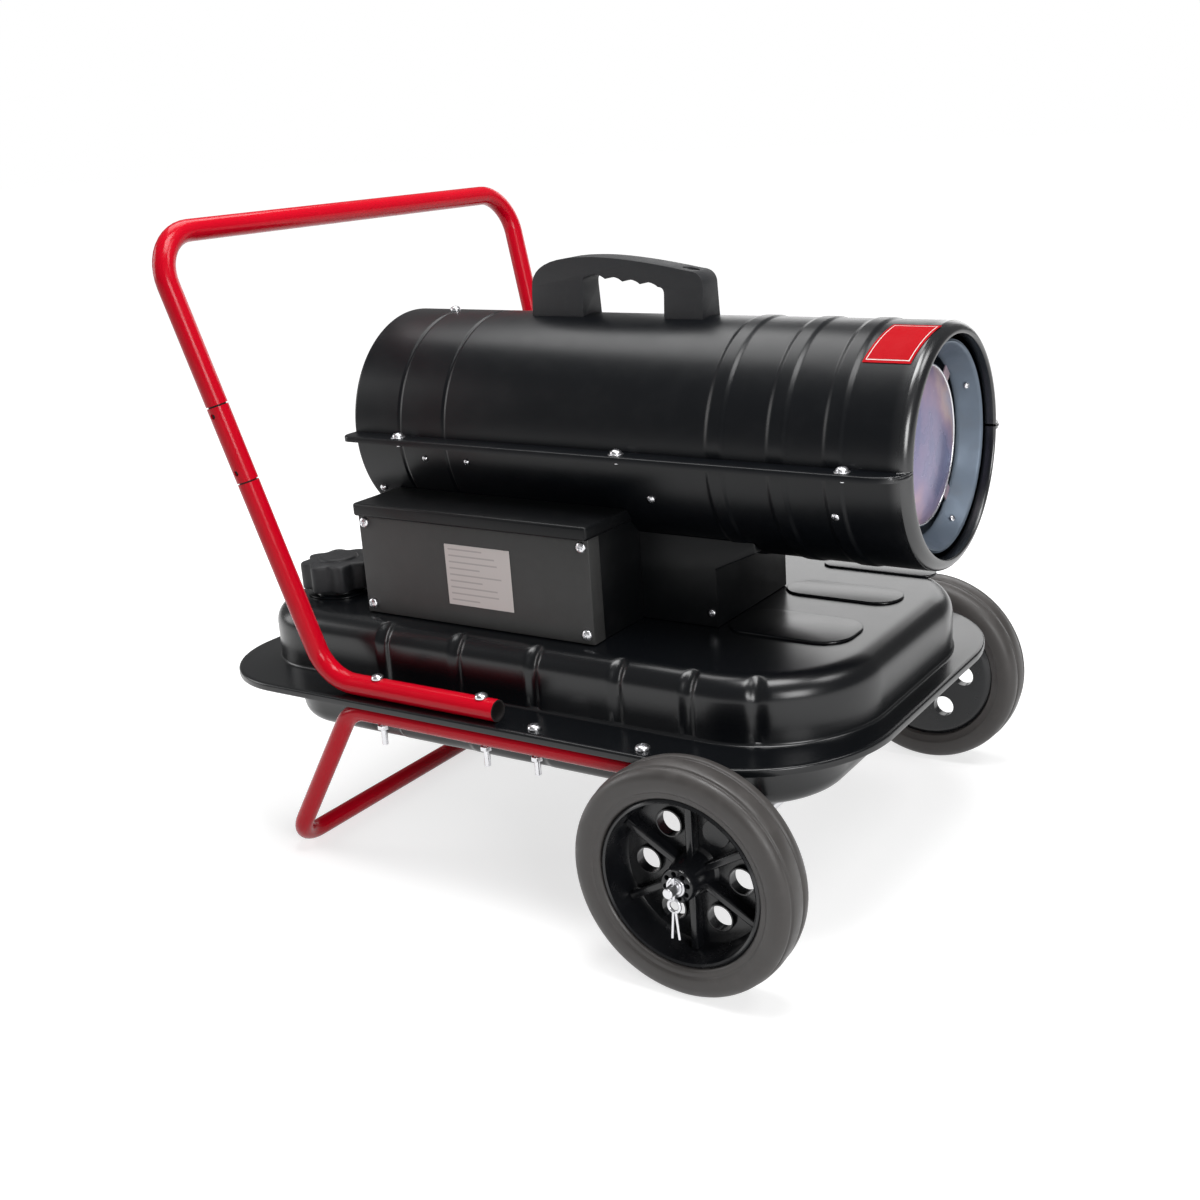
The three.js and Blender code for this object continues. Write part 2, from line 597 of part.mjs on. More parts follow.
function makeFiller() {
  const place = [fillerX, filler.y];
  const outer = filler.boreRadius + filler.wall;
  const neck = turned(
    "z",
    [
      [filler.boreRadius, tank.topZ - filler.drop],
      [outer, tank.topZ - filler.drop],
      [outer, tank.topZ + gap],
      [outer + collar.width, tank.topZ + gap],
      [outer + collar.width, tank.topZ + collar.thickness + gap],
      [outer, tank.topZ + collar.thickness + gap],
      [outer, neckTopZ],
      [filler.boreRadius, neckTopZ],
    ],
    place,
    round.medium,
  );
  add("filler_neck", neck, zinc);

  const rimZ = neckTopZ + gap;
  const cupOuter = strainer.radius;
  const cup = turned(
    "z",
    [
      [0, neckTopZ - strainer.depth],
      [cupOuter, neckTopZ - strainer.depth],
      [cupOuter, rimZ],
      [outer - strainer.rimInset, rimZ],
      [outer - strainer.rimInset, rimZ + strainer.wall],
      [cupOuter - strainer.wall, rimZ + strainer.wall],
      [cupOuter - strainer.wall, neckTopZ - strainer.depth + strainer.wall],
      [0, neckTopZ - strainer.depth + strainer.wall],
    ],
    place,
    round.medium,
  );
  add("fuel_strainer", cup, steelMesh);

  const sealZ = rimZ + strainer.wall + gap;
  const sealTop = sealZ + sealThickness;
  add("cap_seal", pipe("z", outer, cupOuter, [sealZ, sealTop], place, round.medium), rubber);

  const capTop = sealTop + gap + cap.top;
  const capBottom = capTop - cap.height;
  let body = rod("z", cap.radius, [capBottom, capTop], place, round.medium);
  for (let i = 0; i < cap.lobes; i += 1) {
    const angle = (2 * Math.PI * i) / cap.lobes;
    const lobeX = fillerX + cap.radius * Math.cos(angle);
    const lobeY = filler.y + cap.radius * Math.sin(angle);
    body = join(body, rod("z", cap.lobeRadius, [capBottom, capTop], [lobeX, lobeY], round.small));
  }
  body = join(body, rod("z", cap.discRadius, [capTop - bite, capTop + cap.discHeight], place, round.medium));
  body = cut(body, rod("z", outer + 2 * gap, [capBottom - bite, sealTop + gap], place, round.medium));
  add("fuel_cap", body, blackPlastic);
}

// ---- Burner barrel ------------------------------------------------------------------------------
const axisYZ = [0, barrel.axisZ];
const barrelSpan = [barrelRearX, barrel.mouthX];

function makeShells() {
  const wide = barrel.radius + barrel.seamWidth;
  const halves = [["upper_shell", 1], ["lower_shell", -1]];
  halves.forEach(([name, way]) => {
    const seat = barrel.axisZ + (way * gap) / 2;
    const far = barrel.axisZ + way * (barrel.radius + past);
    const level = (z0, z1) => [Math.min(z0, z1), Math.max(z0, z1)];
    const tube = pipe("x", barrel.radius, innerBarrel, barrelSpan, axisYZ, round.large);
    const lipSpan = [barrel.mouthX - mouthLip.thickness, barrel.mouthX];
    const lip = pipe("x", barrel.radius, barrel.radius - mouthLip.depth, lipSpan, axisYZ, round.large);
    const half = block([barrelRearX - past, barrel.mouthX + past], [-wide, wide], level(seat, far));
    let shell = join(tube, lip).intersect(half);
    sides.forEach(([, side]) => {
      const run = level(side * (barrel.radius - bite), side * wide);
      shell = join(shell, block(barrelSpan, run, level(seat, seat + way * barrel.sheet)));
      seamScrew.x.forEach((x) => {
        const y = side * (barrel.radius + barrel.seamWidth / 2);
        const through = level(seat - way * past, seat + way * past);
        shell = cut(shell, rod("z", seamScrew.holeRadius, through, [x, y], round.small));
      });
    });
    if (way < 0) {
      const hole = fuelLine.radius + fuelLine.shellSlack;
      shell = cut(shell, rod("z", hole, [far, seat], [fuelLine.x, 0], round.small));
    }
    add(name, shell, blackPaint);
  });
}

function makeCarryHandle() {
  const { rearX, frontX, width, height, rearFoot, frontFoot } = carry;
  const { grip, slope, rearBend, frontBend, chamfer, fall } = carry;
  const baseZ = barrel.axisZ + Math.sqrt(barrel.radius ** 2 - (width / 2) ** 2) - past;
  const topZ = barrel.axisZ + barrel.radius + height;
  const frontTopZ = topZ - slope;
  const outline = new THREE.Shape();
  outline.moveTo(rearX, baseZ);
  outline.lineTo(frontX, baseZ);
  outline.lineTo(frontX, frontTopZ - frontBend);
  outline.quadraticCurveTo(frontX, frontTopZ, frontX - frontBend, frontTopZ);
  outline.quadraticCurveTo((rearX + frontX) / 2, topZ, rearX + rearFoot, topZ);
  outline.quadraticCurveTo(rearX, topZ, rearX, topZ - rearBend);
  const opening = new THREE.Path();
  const rearUnder = topZ - grip;
  const frontUnder = rearUnder - fall;
  opening.moveTo(rearX + rearFoot, baseZ - bite);
  opening.lineTo(rearX + rearFoot, rearUnder - chamfer);
  opening.lineTo(rearX + rearFoot + chamfer, rearUnder);
  opening.lineTo(frontX - frontFoot - chamfer, frontUnder);
  opening.lineTo(frontX - frontFoot, frontUnder - chamfer);
  opening.lineTo(frontX - frontFoot, baseZ - bite);
  const gripOpening = slabAlongY(new THREE.Shape(opening.getPoints()), width + 2);
  const body = cut(slabAlongY(outline, width), gripOpening);
  const seat = rod("x", barrel.radius + gap, barrelSpan, axisYZ, round.large);
  add("carry_handle", cut(body, seat), blackPlastic);
}

function makeRearGuard() {
  const outer = innerBarrel - gap;
  const span = [barrelRearX + guard.inset, barrelRearX + guard.inset + guard.thickness];
  let disc = rod("x", outer, span, axisYZ, round.large);
  const wide = [span[0] - bite, span[1] + bite];
  for (let i = 0; i < guard.rings; i += 1) {
    const from = guard.hub + i * (guard.ringGap + guard.bar);
    let slot = pipe("x", from + guard.ringGap, from, wide, axisYZ, round.medium);
    for (let s = 0; s < guard.spokes; s += 1) {
      const spoke = new THREE.BoxGeometry(guard.thickness + 4 * bite, 2 * outer, guard.bar);
      spoke.applyMatrix4(new THREE.Matrix4().makeRotationX((Math.PI * s) / guard.spokes));
      spoke.translate((span[0] + span[1]) / 2, 0, barrel.axisZ);
      slot = cut(slot, toSolid(spoke));
    }
    disc = cut(disc, slot);
  }
  add("rear_guard", disc, blackSheet);
}

function makeLabel() {
  const inner = barrel.radius + gap;
  const sector = new THREE.Shape();
  const from = THREE.MathUtils.degToRad(180 - label.toDegrees);
  const to = THREE.MathUtils.degToRad(180 - label.fromDegrees);
  sector.absarc(0, 0, inner + label.thickness, from, to, false);
  sector.absarc(0, 0, inner, to, from, true);
  const geometry = new THREE.ExtrudeGeometry(sector, {
    depth: label.length,
    bevelEnabled: false,
    curveSegments: 8,
  });
  const lying = new THREE.Matrix4().makeBasis(at(0, 1, 0), at(0, 0, 1), at(1, 0, 0));
  geometry.applyMatrix4(lying).translate(label.rearX, 0, barrel.axisZ);
  add("top_label", toSolid(geometry), red);
}

// ---- Burner -------------------------------------------------------------------------------------
function makeChamber() {
  const { radius, sheet, rearX, frontX, throat } = chamber;
  let body = turned(
    "x",
    [
      [throat, rearX],
      [radius, rearX],
      [radius, frontX],
      [radius - sheet, frontX],
      [radius - sheet, rearX + sheet],
      [throat, rearX + sheet],
    ],
    axisYZ,
    round.large,
  );
  for (let i = 0; i < stud.count; i += 1) {
    const angle = (2 * Math.PI * (i + 0.5)) / stud.count;
    const length = innerBarrel - gap - (radius - bite);
    const post = new THREE.CylinderGeometry(stud.radius, stud.radius, length - bite, round.small);
    post.translate(0, radius - bite + length / 2, 0).applyMatrix4(new THREE.Matrix4().makeRotationX(angle));
    body = join(body, toSolid(post.translate(stud.x, 0, barrel.axisZ)));
  }
  add("combustion_chamber", body, chamberSteel);

  const ringOuter = radius - sheet - gap;
  const ring = turned(
    "x",
    [
      [ringOuter, frontX],
      [ringOuter - outlet.sheet, frontX],
      [outlet.innerRadius, frontX - outlet.depth],
      [outlet.innerRadius, frontX - outlet.depth - outlet.sheet],
      [ringOuter, frontX - outlet.sheet * 2],
    ],
    axisYZ,
    round.large,
  );
  add("outlet_ring", ring, chamberSteel);

  const { dish, bendShare, bendRise } = deflector;
  const x = frontX - outlet.depth;
  let disc = turned(
    "x",
    [
      [0, x + dish],
      [deflector.radius * bendShare, x + dish * bendRise],
      [deflector.radius, x],
      [deflector.radius, x - deflector.sheet],
      [deflector.radius * bendShare, x + dish * bendRise - deflector.sheet],
      [0, x + dish - deflector.sheet],
    ],
    axisYZ,
    round.large,
  );
  for (let i = 0; i < tabs.count; i += 1) {
    const angle = (2 * Math.PI * (i + 0.5)) / tabs.count;
    const from = deflector.radius - tabs.overlap;
    const length = outlet.innerRadius - gap - from;
    const tab = new THREE.BoxGeometry(deflector.sheet, length, tabs.width);
    tab.translate(x - deflector.sheet / 2, from + length / 2, 0);
    tab.applyMatrix4(new THREE.Matrix4().makeRotationX(angle)).translate(0, 0, barrel.axisZ);
    disc = join(disc, toSolid(tab));
  }
  const reach = rod("x", outlet.innerRadius - gap, [x - past, x + dish + past], axisYZ, round.large);
  add("deflector_disc", disc.intersect(reach), heatedSteel);
}

function makeBurnerHead() {
  const frontX = plateFaceX + burner.cupDepth;
  const bore = nozzle.radius + gap;
  let head = turned(
    "x",
    [
      [bore, burnerRearX],
      [burner.plateRadius, burnerRearX],
      [burner.plateRadius, plateFaceX],
      [burner.cupRadius, plateFaceX],
      [burner.cupRadius, frontX],
      [burner.cupRadius - burner.cupWall, frontX],
      [burner.cupRadius - burner.cupWall, plateFaceX],
      [bore, plateFaceX],
    ],
    axisYZ,
    round.medium,
  );
  const rodsY = [-igniter.spread, igniter.spread];
  const rodZ = barrel.axisZ + igniter.offset;
  const bodyX = [burnerRearX - gap - insulator.length, burnerRearX - gap];
  const throughPlate = [burnerRearX - bite, plateFaceX + bite];
  rodsY.forEach((y) => {
    head = cut(head, rod("x", igniter.rodRadius + gap, throughPlate, [y, rodZ], round.small));
  });
  const eyeZ = barrel.axisZ - photocell.offset;
  head = cut(head, rod("x", photocell.window, throughPlate, [0, eyeZ], round.small));
  add("burner_head", head, aluminium);

  const rear = burnerRearX - nozzle.rear;
  let tip = rod("x", nozzle.radius, [rear, rear + nozzle.length], axisYZ, round.small);
  tip = cut(tip, rod("x", nozzle.bore, [rear - bite, rear + nozzle.length + bite], axisYZ, round.small));
  add("fuel_nozzle", tip, brass);

  let spark = block(
    bodyX,
    [-igniter.spread - insulator.skirt, igniter.spread + insulator.skirt],
    [rodZ - insulator.skirt, rodZ + insulator.top],
  );
  rodsY.forEach((y) => {
    const run = [bodyX[1] - igniter.root, plateFaceX + igniter.rodLength];
    spark = join(spark, rod("x", igniter.rodRadius, run, [y, rodZ], round.small));
  });
  add("ignition_electrodes", spark, ceramic);
  const cellX = burnerRearX - gap;
  const cell = rod("x", photocell.radius, [cellX - photocell.length, cellX], [0, eyeZ], round.small);
  add("flame_photocell", cell, blackPlastic);
}

function makeBlower() {
  const shaftHole = shaft.radius + shaft.clearance;
  const shell = turned(
    "x",
    [
      [shaftHole, motor.rearX],
      [motor.radius, motor.rearX],
      [motor.radius, motorFrontX],
      [shaftHole, motorFrontX],
      [shaftHole, motorFrontX - motor.wall],
      [motor.radius - motor.wall, motorFrontX - motor.wall],
      [motor.radius - motor.wall, motor.rearX + motor.wall],
      [shaftHole, motor.rearX + motor.wall],
    ],
    axisYZ,
    round.medium,
  );
  add("motor_body", shell, aluminium);

  const drumInset = motor.wall + motor.drumGap;
  const fanFrontX = fan.rearX + fan.depth;
  const rotorRear = pumpRearX + pump.rotorInset;
  const pumpFloorX = pumpFrontX - pump.end;
  const vaneWheel = rod("x", pump.rotorRadius, [rotorRear, pumpFloorX - bite], axisYZ, round.medium);
  const vaneSlots = [1, -1].map((way) => {
    const ends = [way * pump.rotorRadius * vane.slotShare, way * (pump.rotorRadius + bite)];
    const span = ends.sort((a, b) => a - b).map((z) => z + barrel.axisZ);
    return block([pumpRearX, pumpFloorX], [-vane.slotHalf, vane.slotHalf], span);
  });
  const rotor = join(
    rod("x", shaft.radius, [rotorRear, fanFrontX - shaft.endInset], axisYZ, round.small),
    rod("x", motor.drumRadius, [motor.rearX + drumInset, motorFrontX - drumInset], axisYZ, round.medium),
    cut(vaneWheel, ...vaneSlots),
  );
  add("motor_and_pump_rotor", rotor, zinc);

  let blades = rod("x", fan.hubRadius, [fan.rearX, fanFrontX], axisYZ, round.medium);
  for (let i = 0; i < blade.count; i += 1) {
    const length = fan.radius - fan.hubRadius + blade.root;
    const vaneBox = new THREE.BoxGeometry(blade.thickness, length, fan.depth * blade.chordShare);
    vaneBox.applyMatrix4(new THREE.Matrix4().makeRotationY(THREE.MathUtils.degToRad(90 - blade.pitch)));
    vaneBox.translate(0, fan.hubRadius - blade.root + length / 2, 0);
    vaneBox.applyMatrix4(new THREE.Matrix4().makeRotationX((2 * Math.PI * i) / blade.count));
    vaneBox.translate((fan.rearX + fanFrontX) / 2, 0, barrel.axisZ);
    blades = join(blades, toSolid(vaneBox));
  }
  const sweep = rod("x", fan.radius, [fan.rearX, fanFrontX], axisYZ, round.large);
  const fanBore = rod("x", shaft.radius + gap, [fan.rearX - bite, fanFrontX + bite], axisYZ, round.small);
  blades = cut(blades.intersect(sweep), fanBore);
  add("fan", blades, aluminium);

  const casing = turned(
    "x",
    [
      [shaftHole, pumpFrontX],
      [pump.radius, pumpFrontX],
      [pump.radius, pumpRearX],
      [pump.bore, pumpRearX],
      [pump.bore, pumpFrontX - pump.end],
      [shaftHole, pumpFrontX - pump.end],
    ],
    axisYZ,
    round.medium,
  );
  add("air_pump_body", casing, aluminium);
  const coverX = pumpRearX - gap;
  const { depth, wall, inset, holeRadius, holeY } = filterCover;
  const coverRear = coverX - depth;
  const lid = cut(
    rod("x", pump.radius, [coverRear, coverX], axisYZ, round.medium),
    rod("x", pump.radius - inset, [coverRear + wall, coverX - wall], axisYZ, round.medium),
    rod("x", holeRadius, [coverRear - bite, coverX + bite], [holeY, barrel.axisZ], round.small),
  );
  add("air_filter_cover", lid, blackPlastic);

  const middle = motor.rearX + motor.length / 2;
  const run = [middle - bracket.length / 2, middle + bracket.length / 2];
  const width = [-bracket.halfWidth, bracket.halfWidth];
  const saddle = block(run, width, [barrel.axisZ - innerBarrel, barrel.axisZ]);
  const inside = rod("x", innerBarrel - gap, barrelSpan, axisYZ, round.large);
  const motorSeat = rod("x", motor.radius + gap, barrelSpan, axisYZ, round.medium);
  const hollow = block(
    [run[0] + bracket.wall, run[1] - bracket.wall],
    [-bracket.halfWidth - bite, bracket.halfWidth + bite],
    [barrel.axisZ - innerBarrel + bracket.foot, barrel.axisZ - motor.radius - bracket.saddle],
  );
  add("motor_bracket", cut(saddle.intersect(inside), motorSeat, hollow), blackSheet);
}

function makeLines() {
  const nozzleRear = burnerRearX - nozzle.rear - gap;
  const pickupZ = tank.bottomZ + tank.sheet + fuelLine.pickup;
  const fuelPath = bentPath(
    [
      at(fuelLine.x, 0, pickupZ),
      at(fuelLine.x, 0, barrel.axisZ),
      at(nozzleRear, 0, barrel.axisZ),
    ],
    fuelLine.bend,
  );
  add("fuel_line", swept(fuelPath, fuelLine.radius, round.small), copper);

  const y = innerBarrel - airLine.wallClearance - airLine.radius;
  const pumpX = (pumpFrontX + pumpRearX) / 2;
  const frontX = burnerRearX - airLine.bend - airLine.straight;
  const z = barrel.axisZ;
  const airPath = bentPath(
    [
      at(pumpX, pump.radius + gap, z),
      at(pumpX, y, z),
      at(frontX, y, z),
      at(frontX, burner.plateRadius - airLine.plateInset, z),
      at(burnerRearX - gap, burner.plateRadius - airLine.plateInset, z),
    ],
    airLine.bend,
  );
  add("air_line", swept(airPath, airLine.radius, round.small), copper);
}

// ---- Base housing and controls ------------------------------------------------------------------
const besideBarrel = [barrelRearX - past, barrel.mouthX + past];
const barrelClearance = rod("x", barrel.radius + gap, besideBarrel, axisYZ, round.large);
const seatZ = tank.topZ + gap;
const wireAt = [wireHole.x, seatZ + wireHole.rise];

// The housing's side: upright in front, then flared forward under the barrel.
function housingSide(rearX, frontX, bottomZ, rise, topZ) {
  const shape = new THREE.Shape();
  shape.moveTo(rearX, bottomZ);
  shape.lineTo(frontX, bottomZ);
  shape.lineTo(frontX, flare.underZ + rise);
  shape.lineTo(frontX + flare.reach, flare.underZ + flare.rise + rise);
  shape.lineTo(frontX + flare.reach, topZ);
  shape.lineTo(rearX, topZ);
  return shape;
}

function makeHousing() {
  const { rearX, frontX, halfWidth, sheet } = housing;
  const topZ = barrel.axisZ - housing.topUnderAxis;
  const outer = slabAlongY(housingSide(rearX, frontX, seatZ, 0, topZ), 2 * halfWidth);
  const hollow = housingSide(rearX + sheet, frontX - sheet, seatZ - bite, sheet, barrel.axisZ);
  const inner = slabAlongY(hollow, 2 * (halfWidth - sheet));
  const floor = block([rearX, frontX], [-halfWidth, halfWidth], [seatZ, seatZ + sheet]);
  const windows = sides.map(([, side]) =>
    rod("y", wireHole.radius, [side * halfWidth - past, side * halfWidth + past], wireAt, round.small),
  );
  const lineHoleRadius = fuelLine.radius + fuelLine.housingSlack;
  const lineHole = rod("z", lineHoleRadius, [seatZ - past, seatZ + past], [fuelLine.x, 0], round.small);
  const body = cut(join(cut(outer, inner), floor), barrelClearance, lineHole, ...windows);
  add("base_housing", body, blackSheet);
}

// Each side has a shallow tray on the housing, and a cover that slips over its open face.
function makeSideBox(trayName, coverName, side, openings) {
  const { rearX, frontX, faceY, topZ, sheet, trayGap } = box;
  const level = (a, b) => [Math.min(side * a, side * b), Math.max(side * a, side * b)];
  const coverBottom = seatZ + gap;
  const trayInset = sheet + gap;
  const trayX = [rearX + trayInset, frontX - trayInset];
  const trayZ = [seatZ, topZ - trayInset];
  const trayFrontY = faceY - sheet - trayGap;
  const back = housing.halfWidth + gap;
  const tray = cut(
    block(trayX, level(back, trayFrontY), trayZ),
    block(
      [trayX[0] + sheet, trayX[1] - sheet],
      level(back + sheet, trayFrontY + bite),
      [trayZ[0] + sheet, trayZ[1] - sheet],
    ),
    barrelClearance,
  );
  const wire = rod("y", wireHole.radius, level(back - past, back + past), wireAt, round.small);
  const glandAt = [side * gland.y, glandZ];
  const glandHole = rod("x", gland.radius - gland.step, [rearX - past, rearX + past], glandAt, round.small);
  add(trayName, cut(tray, wire, ...(side > 0 ? [glandHole] : [])), blackSheet);

  const coverY = level(faceY - cover.depth, faceY);
  let shell = block([rearX, frontX], coverY, [coverBottom, topZ]);
  const hollowY = level(faceY - cover.depth - bite, faceY - sheet);
  shell = cut(shell, block([rearX + sheet, frontX - sheet], hollowY, [coverBottom - bite, topZ - sheet]));
  const lipY = level(faceY - cover.depth, faceY + cover.lip);
  shell = join(shell, block([rearX, frontX], lipY, [topZ - bite, topZ + sheet]));
  add(coverName, cut(shell, barrelClearance, ...openings), blackSheet);
}

function makeControls() {
  const face = box.faceY;
  const throughFace = [face - past, face + past];
  const knobHole = rod("y", knob.shaftRadius + gap, throughFace, [knob.x, knob.z], round.small);
  const frameHalf = [rocker.width / 2 + switchFrame.width, rocker.height / 2 + switchFrame.width];
  const rockerHole = block(
    [rocker.x - frameHalf[0] - gap, rocker.x + frameHalf[0] + gap],
    throughFace,
    [rocker.z - frameHalf[1] - gap, rocker.z + frameHalf[1] + gap],
  );
  makeSideBox("control_tray", "service_cover", -1, []);
  makeSideBox("panel_tray", "control_panel", 1, [knobHole, rockerHole]);

  const plateY = [-face - gap - plate.thickness, -face - gap];
  const halfPlate = [plate.width / 2, plate.height / 2];
  const rating = block(
    [plate.x - halfPlate[0], plate.x + halfPlate[0]],
    plateY,
    [plate.z - halfPlate[1], plate.z + halfPlate[1]],
  );
  add("rating_plate", rating, paleFilm);

  const knobSpan = [face + gap, face + gap + knob.depth];
  let dial = rod("y", knob.radius, knobSpan, [knob.x, knob.z], round.medium);
  const knobShaft = [face - knob.shaftDepth, knobSpan[0] + bite];
  dial = join(dial, rod("y", knob.shaftRadius, knobShaft, [knob.x, knob.z], round.small));
  const mark = block(
    [knob.x - pointer.halfWidth, knob.x + pointer.halfWidth],
    [knobSpan[1] - bite, knobSpan[1] + pointer.rise],
    [knob.z + pointer.from, knob.z + knob.radius - pointer.margin],
  );
  add("thermostat_knob", join(dial, mark), blackPlastic);

  const frameSpan = [face - switchFrame.depth, face + switchFrame.front];
  const outer = block(
    [rocker.x - frameHalf[0], rocker.x + frameHalf[0]],
    frameSpan,
    [rocker.z - frameHalf[1], rocker.z + frameHalf[1]],
  );
  const well = block(
    [rocker.x - rocker.width / 2 - gap, rocker.x + rocker.width / 2 + gap],
    [frameSpan[0] - bite, frameSpan[1] + bite],
    [rocker.z - rocker.height / 2 - rocker.clearance, rocker.z + rocker.height / 2 + rocker.clearance],
  );
  const pivotY = face - pivot.depth;
  const pinReach = rocker.width / 2 + pivot.reach;
  const pinRun = [rocker.x - pinReach, rocker.x + pinReach];
  const pinHoleRun = [pinRun[0] - pivot.slack, pinRun[1] + pivot.slack];
  const pinHole = rod("x", pivot.radius + gap, pinHoleRun, [pivotY, rocker.z], round.small);
  add("switch_frame", cut(outer, well, pinHole), blackPlastic);
  const paddle = block(
    [rocker.x - rocker.width / 2, rocker.x + rocker.width / 2],
    [pivotY - rocker.back, pivotY + rocker.front],
    [rocker.z - rocker.height / 2, rocker.z + rocker.height / 2],
  );
  const pivotPin = rod("x", pivot.radius, pinRun, [pivotY, rocker.z], round.small);
  add("power_switch", join(paddle, pivotPin), red);

  const trayBack = housing.halfWidth + gap + box.sheet + gap;
  const floorZ = seatZ + box.sheet + gap;
  const coil = block(
    [transformer.x - transformer.length / 2, transformer.x + transformer.length / 2],
    [-trayBack - transformer.depth, -trayBack],
    [floorZ, floorZ + transformer.height],
  );
  add("ignition_transformer", coil, blackPlastic);
  const boardFront = trayBack + board.standoff;
  const posts = [-1, 1].map((way) => {
    const place = [board.x + way * (board.length / 2 - boardPost.inset), floorZ + boardPost.rise];
    return rod("y", boardPost.radius, [trayBack, boardFront + bite], place, round.small);
  });
  const card = block(
    [board.x - board.length / 2, board.x + board.length / 2],
    [boardFront, boardFront + board.thickness],
    [floorZ + board.rise, floorZ + board.rise + board.height],
  );
  add("control_board", join(card, ...posts), greenBoard);

  const wallX = box.rearX + box.sheet + gap;
  const threadRadius = gland.radius - gland.step - gap;
  const nut = turned(
    "x",
    [
      [gland.bore, wallX + gland.thread],
      [threadRadius, wallX + gland.thread],
      [threadRadius, wallX - gap],
      [gland.radius, wallX - gap],
      [gland.radius, wallX - gap - gland.length],
      [gland.bore, wallX - gap - gland.length],
    ],
    [gland.y, glandZ],
    round.small,
  );
  add("cable_gland", nut, blackPlastic);
}

makeRunningGear();
makeStand();
makePushHandle();
makeBolts();
makeTank();
makeFiller();
makeShells();
makeCarryHandle();
makeRearGuard();
makeLabel();
makeChamber();
makeBurnerHead();
makeBlower();
makeLines();
makeHousing();
makeControls();

const part = new THREE.Group();
heater.position.x = -(flangeRearX + barrel.mouthX) / 2;
part.add(heater);

export default part;
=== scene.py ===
# Portable forced air heater: a black burner barrel on a pressed steel fuel tank, with two wheels,
# a rear foot and a red push handle. The frame is in metres. Sizes here are in millimetres: X from
# the wheel axle towards the mouth, Y from the middle to the left, Z from the floor.
import json
from math import cos, sin, pi, radians, sqrt

import bmesh
import bpy
from mathutils import Matrix, Vector


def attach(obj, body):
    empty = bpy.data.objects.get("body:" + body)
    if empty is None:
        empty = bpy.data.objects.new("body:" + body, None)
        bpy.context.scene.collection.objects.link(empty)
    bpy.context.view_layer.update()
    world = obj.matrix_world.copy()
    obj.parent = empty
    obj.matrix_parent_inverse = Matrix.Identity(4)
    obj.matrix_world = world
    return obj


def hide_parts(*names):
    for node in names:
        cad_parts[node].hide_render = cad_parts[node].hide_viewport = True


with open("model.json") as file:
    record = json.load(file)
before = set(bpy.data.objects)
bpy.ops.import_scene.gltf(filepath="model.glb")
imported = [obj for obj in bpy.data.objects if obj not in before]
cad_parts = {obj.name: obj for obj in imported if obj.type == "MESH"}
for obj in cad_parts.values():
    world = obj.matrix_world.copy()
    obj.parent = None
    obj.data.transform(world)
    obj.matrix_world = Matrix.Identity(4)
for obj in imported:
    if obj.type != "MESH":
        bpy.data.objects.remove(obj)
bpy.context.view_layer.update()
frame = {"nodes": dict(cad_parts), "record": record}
scene = bpy.context.scene

MM = 0.001
AXLE_X = 278.5  # the wheel axle's place along the frame's X
SIDES = (-1, 1)  # right and left
RIGHT_AND_LEFT = (("right", -1), ("left", 1))
UP = (0, 0, 1)


def spot(x, y, z):
    """A point given in millimetres from the axle, the middle plane and the floor."""
    return Vector(((x + AXLE_X) * MM, y * MM, z * MM))


# ---- Camera ----
PICTURE = 1200  # pixels along each side


def place_camera(stand, turn, dip, tilt, focal, centre):
    """Turn is to the left of +Y, dip is downwards. Focal length and optical centre are in pixels."""
    turn, dip, tilt = radians(turn), radians(dip), radians(tilt)
    ahead = Vector((-sin(turn) * cos(dip), cos(turn) * cos(dip), -sin(dip)))
    right = Vector((cos(turn), sin(turn), 0))
    up = right.cross(ahead)
    across = right * cos(tilt) + up * sin(tilt)
    above = up * cos(tilt) - right * sin(tilt)
    data = bpy.data.cameras.new("camera")
    data.sensor_width = 36
    data.lens = focal / PICTURE * data.sensor_width
    data.shift_x = 0.5 - centre[0] / PICTURE
    data.shift_y = centre[1] / PICTURE - 0.5
    data.clip_start = 0.01
    camera = bpy.data.objects.new("camera", data)
    axes = Matrix((across, above, -ahead)).transposed().to_4x4()
    camera.matrix_world = Matrix.Translation(stand) @ axes
    scene.collection.objects.link(camera)
    scene.camera = camera


place_camera(spot(711.2, -1470.5, 848.9), 31.57, 17.21, -3.17, 1512.2, (677.7, 582.2))


# ---- Nodes ----
def feed(tree, sockets, values):
    """Gives each named socket its number, its colour or another node's output."""
    for label, value in values.items():
        if isinstance(value, (int, float, tuple)):
            sockets[label].default_value = value
        else:
            tree.links.new(value, sockets[label])


def node(tree, kind, values, output=0, **settings):
    """Places a node, sets it, feeds it and returns one of its outputs."""
    made = tree.nodes.new(f"ShaderNode{kind}")
    for key, value in settings.items():
        setattr(made, key, value)
    feed(tree, made.inputs, values)
    return made.outputs[output]


def object_point(tree):
    return node(tree, "TexCoord", {}, "Object")


def part_of(tree, point, axis):
    return node(tree, "SeparateXYZ", {0: point}, axis)


def noise(tree, where, scale, detail, roughness=0.5):
    values = {"Vector": where, "Scale": scale, "Detail": detail, "Roughness": roughness}
    return node(tree, "TexNoise", values, "Fac")


def maths(tree, operation, *values, clamp=False):
    return node(tree, "Math", dict(enumerate(values)), operation=operation, use_clamp=clamp)


def times(tree, first, *others):
    for other in others:
        first = maths(tree, "MULTIPLY", first, other)
    return first


def stretch(tree, value, low, high, to_low=0.0, to_high=1.0):
    """Eases from one number to another while a value goes from low to high."""
    values = {"Value": value, "From Min": low, "From Max": high, "To Min": to_low, "To Max": to_high}
    return node(tree, "MapRange", values, interpolation_type="SMOOTHSTEP")


def blend(tree, share, first, second):
    return node(tree, "Mix", {"Factor": share, "A": first, "B": second}, "Result", data_type="RGBA")


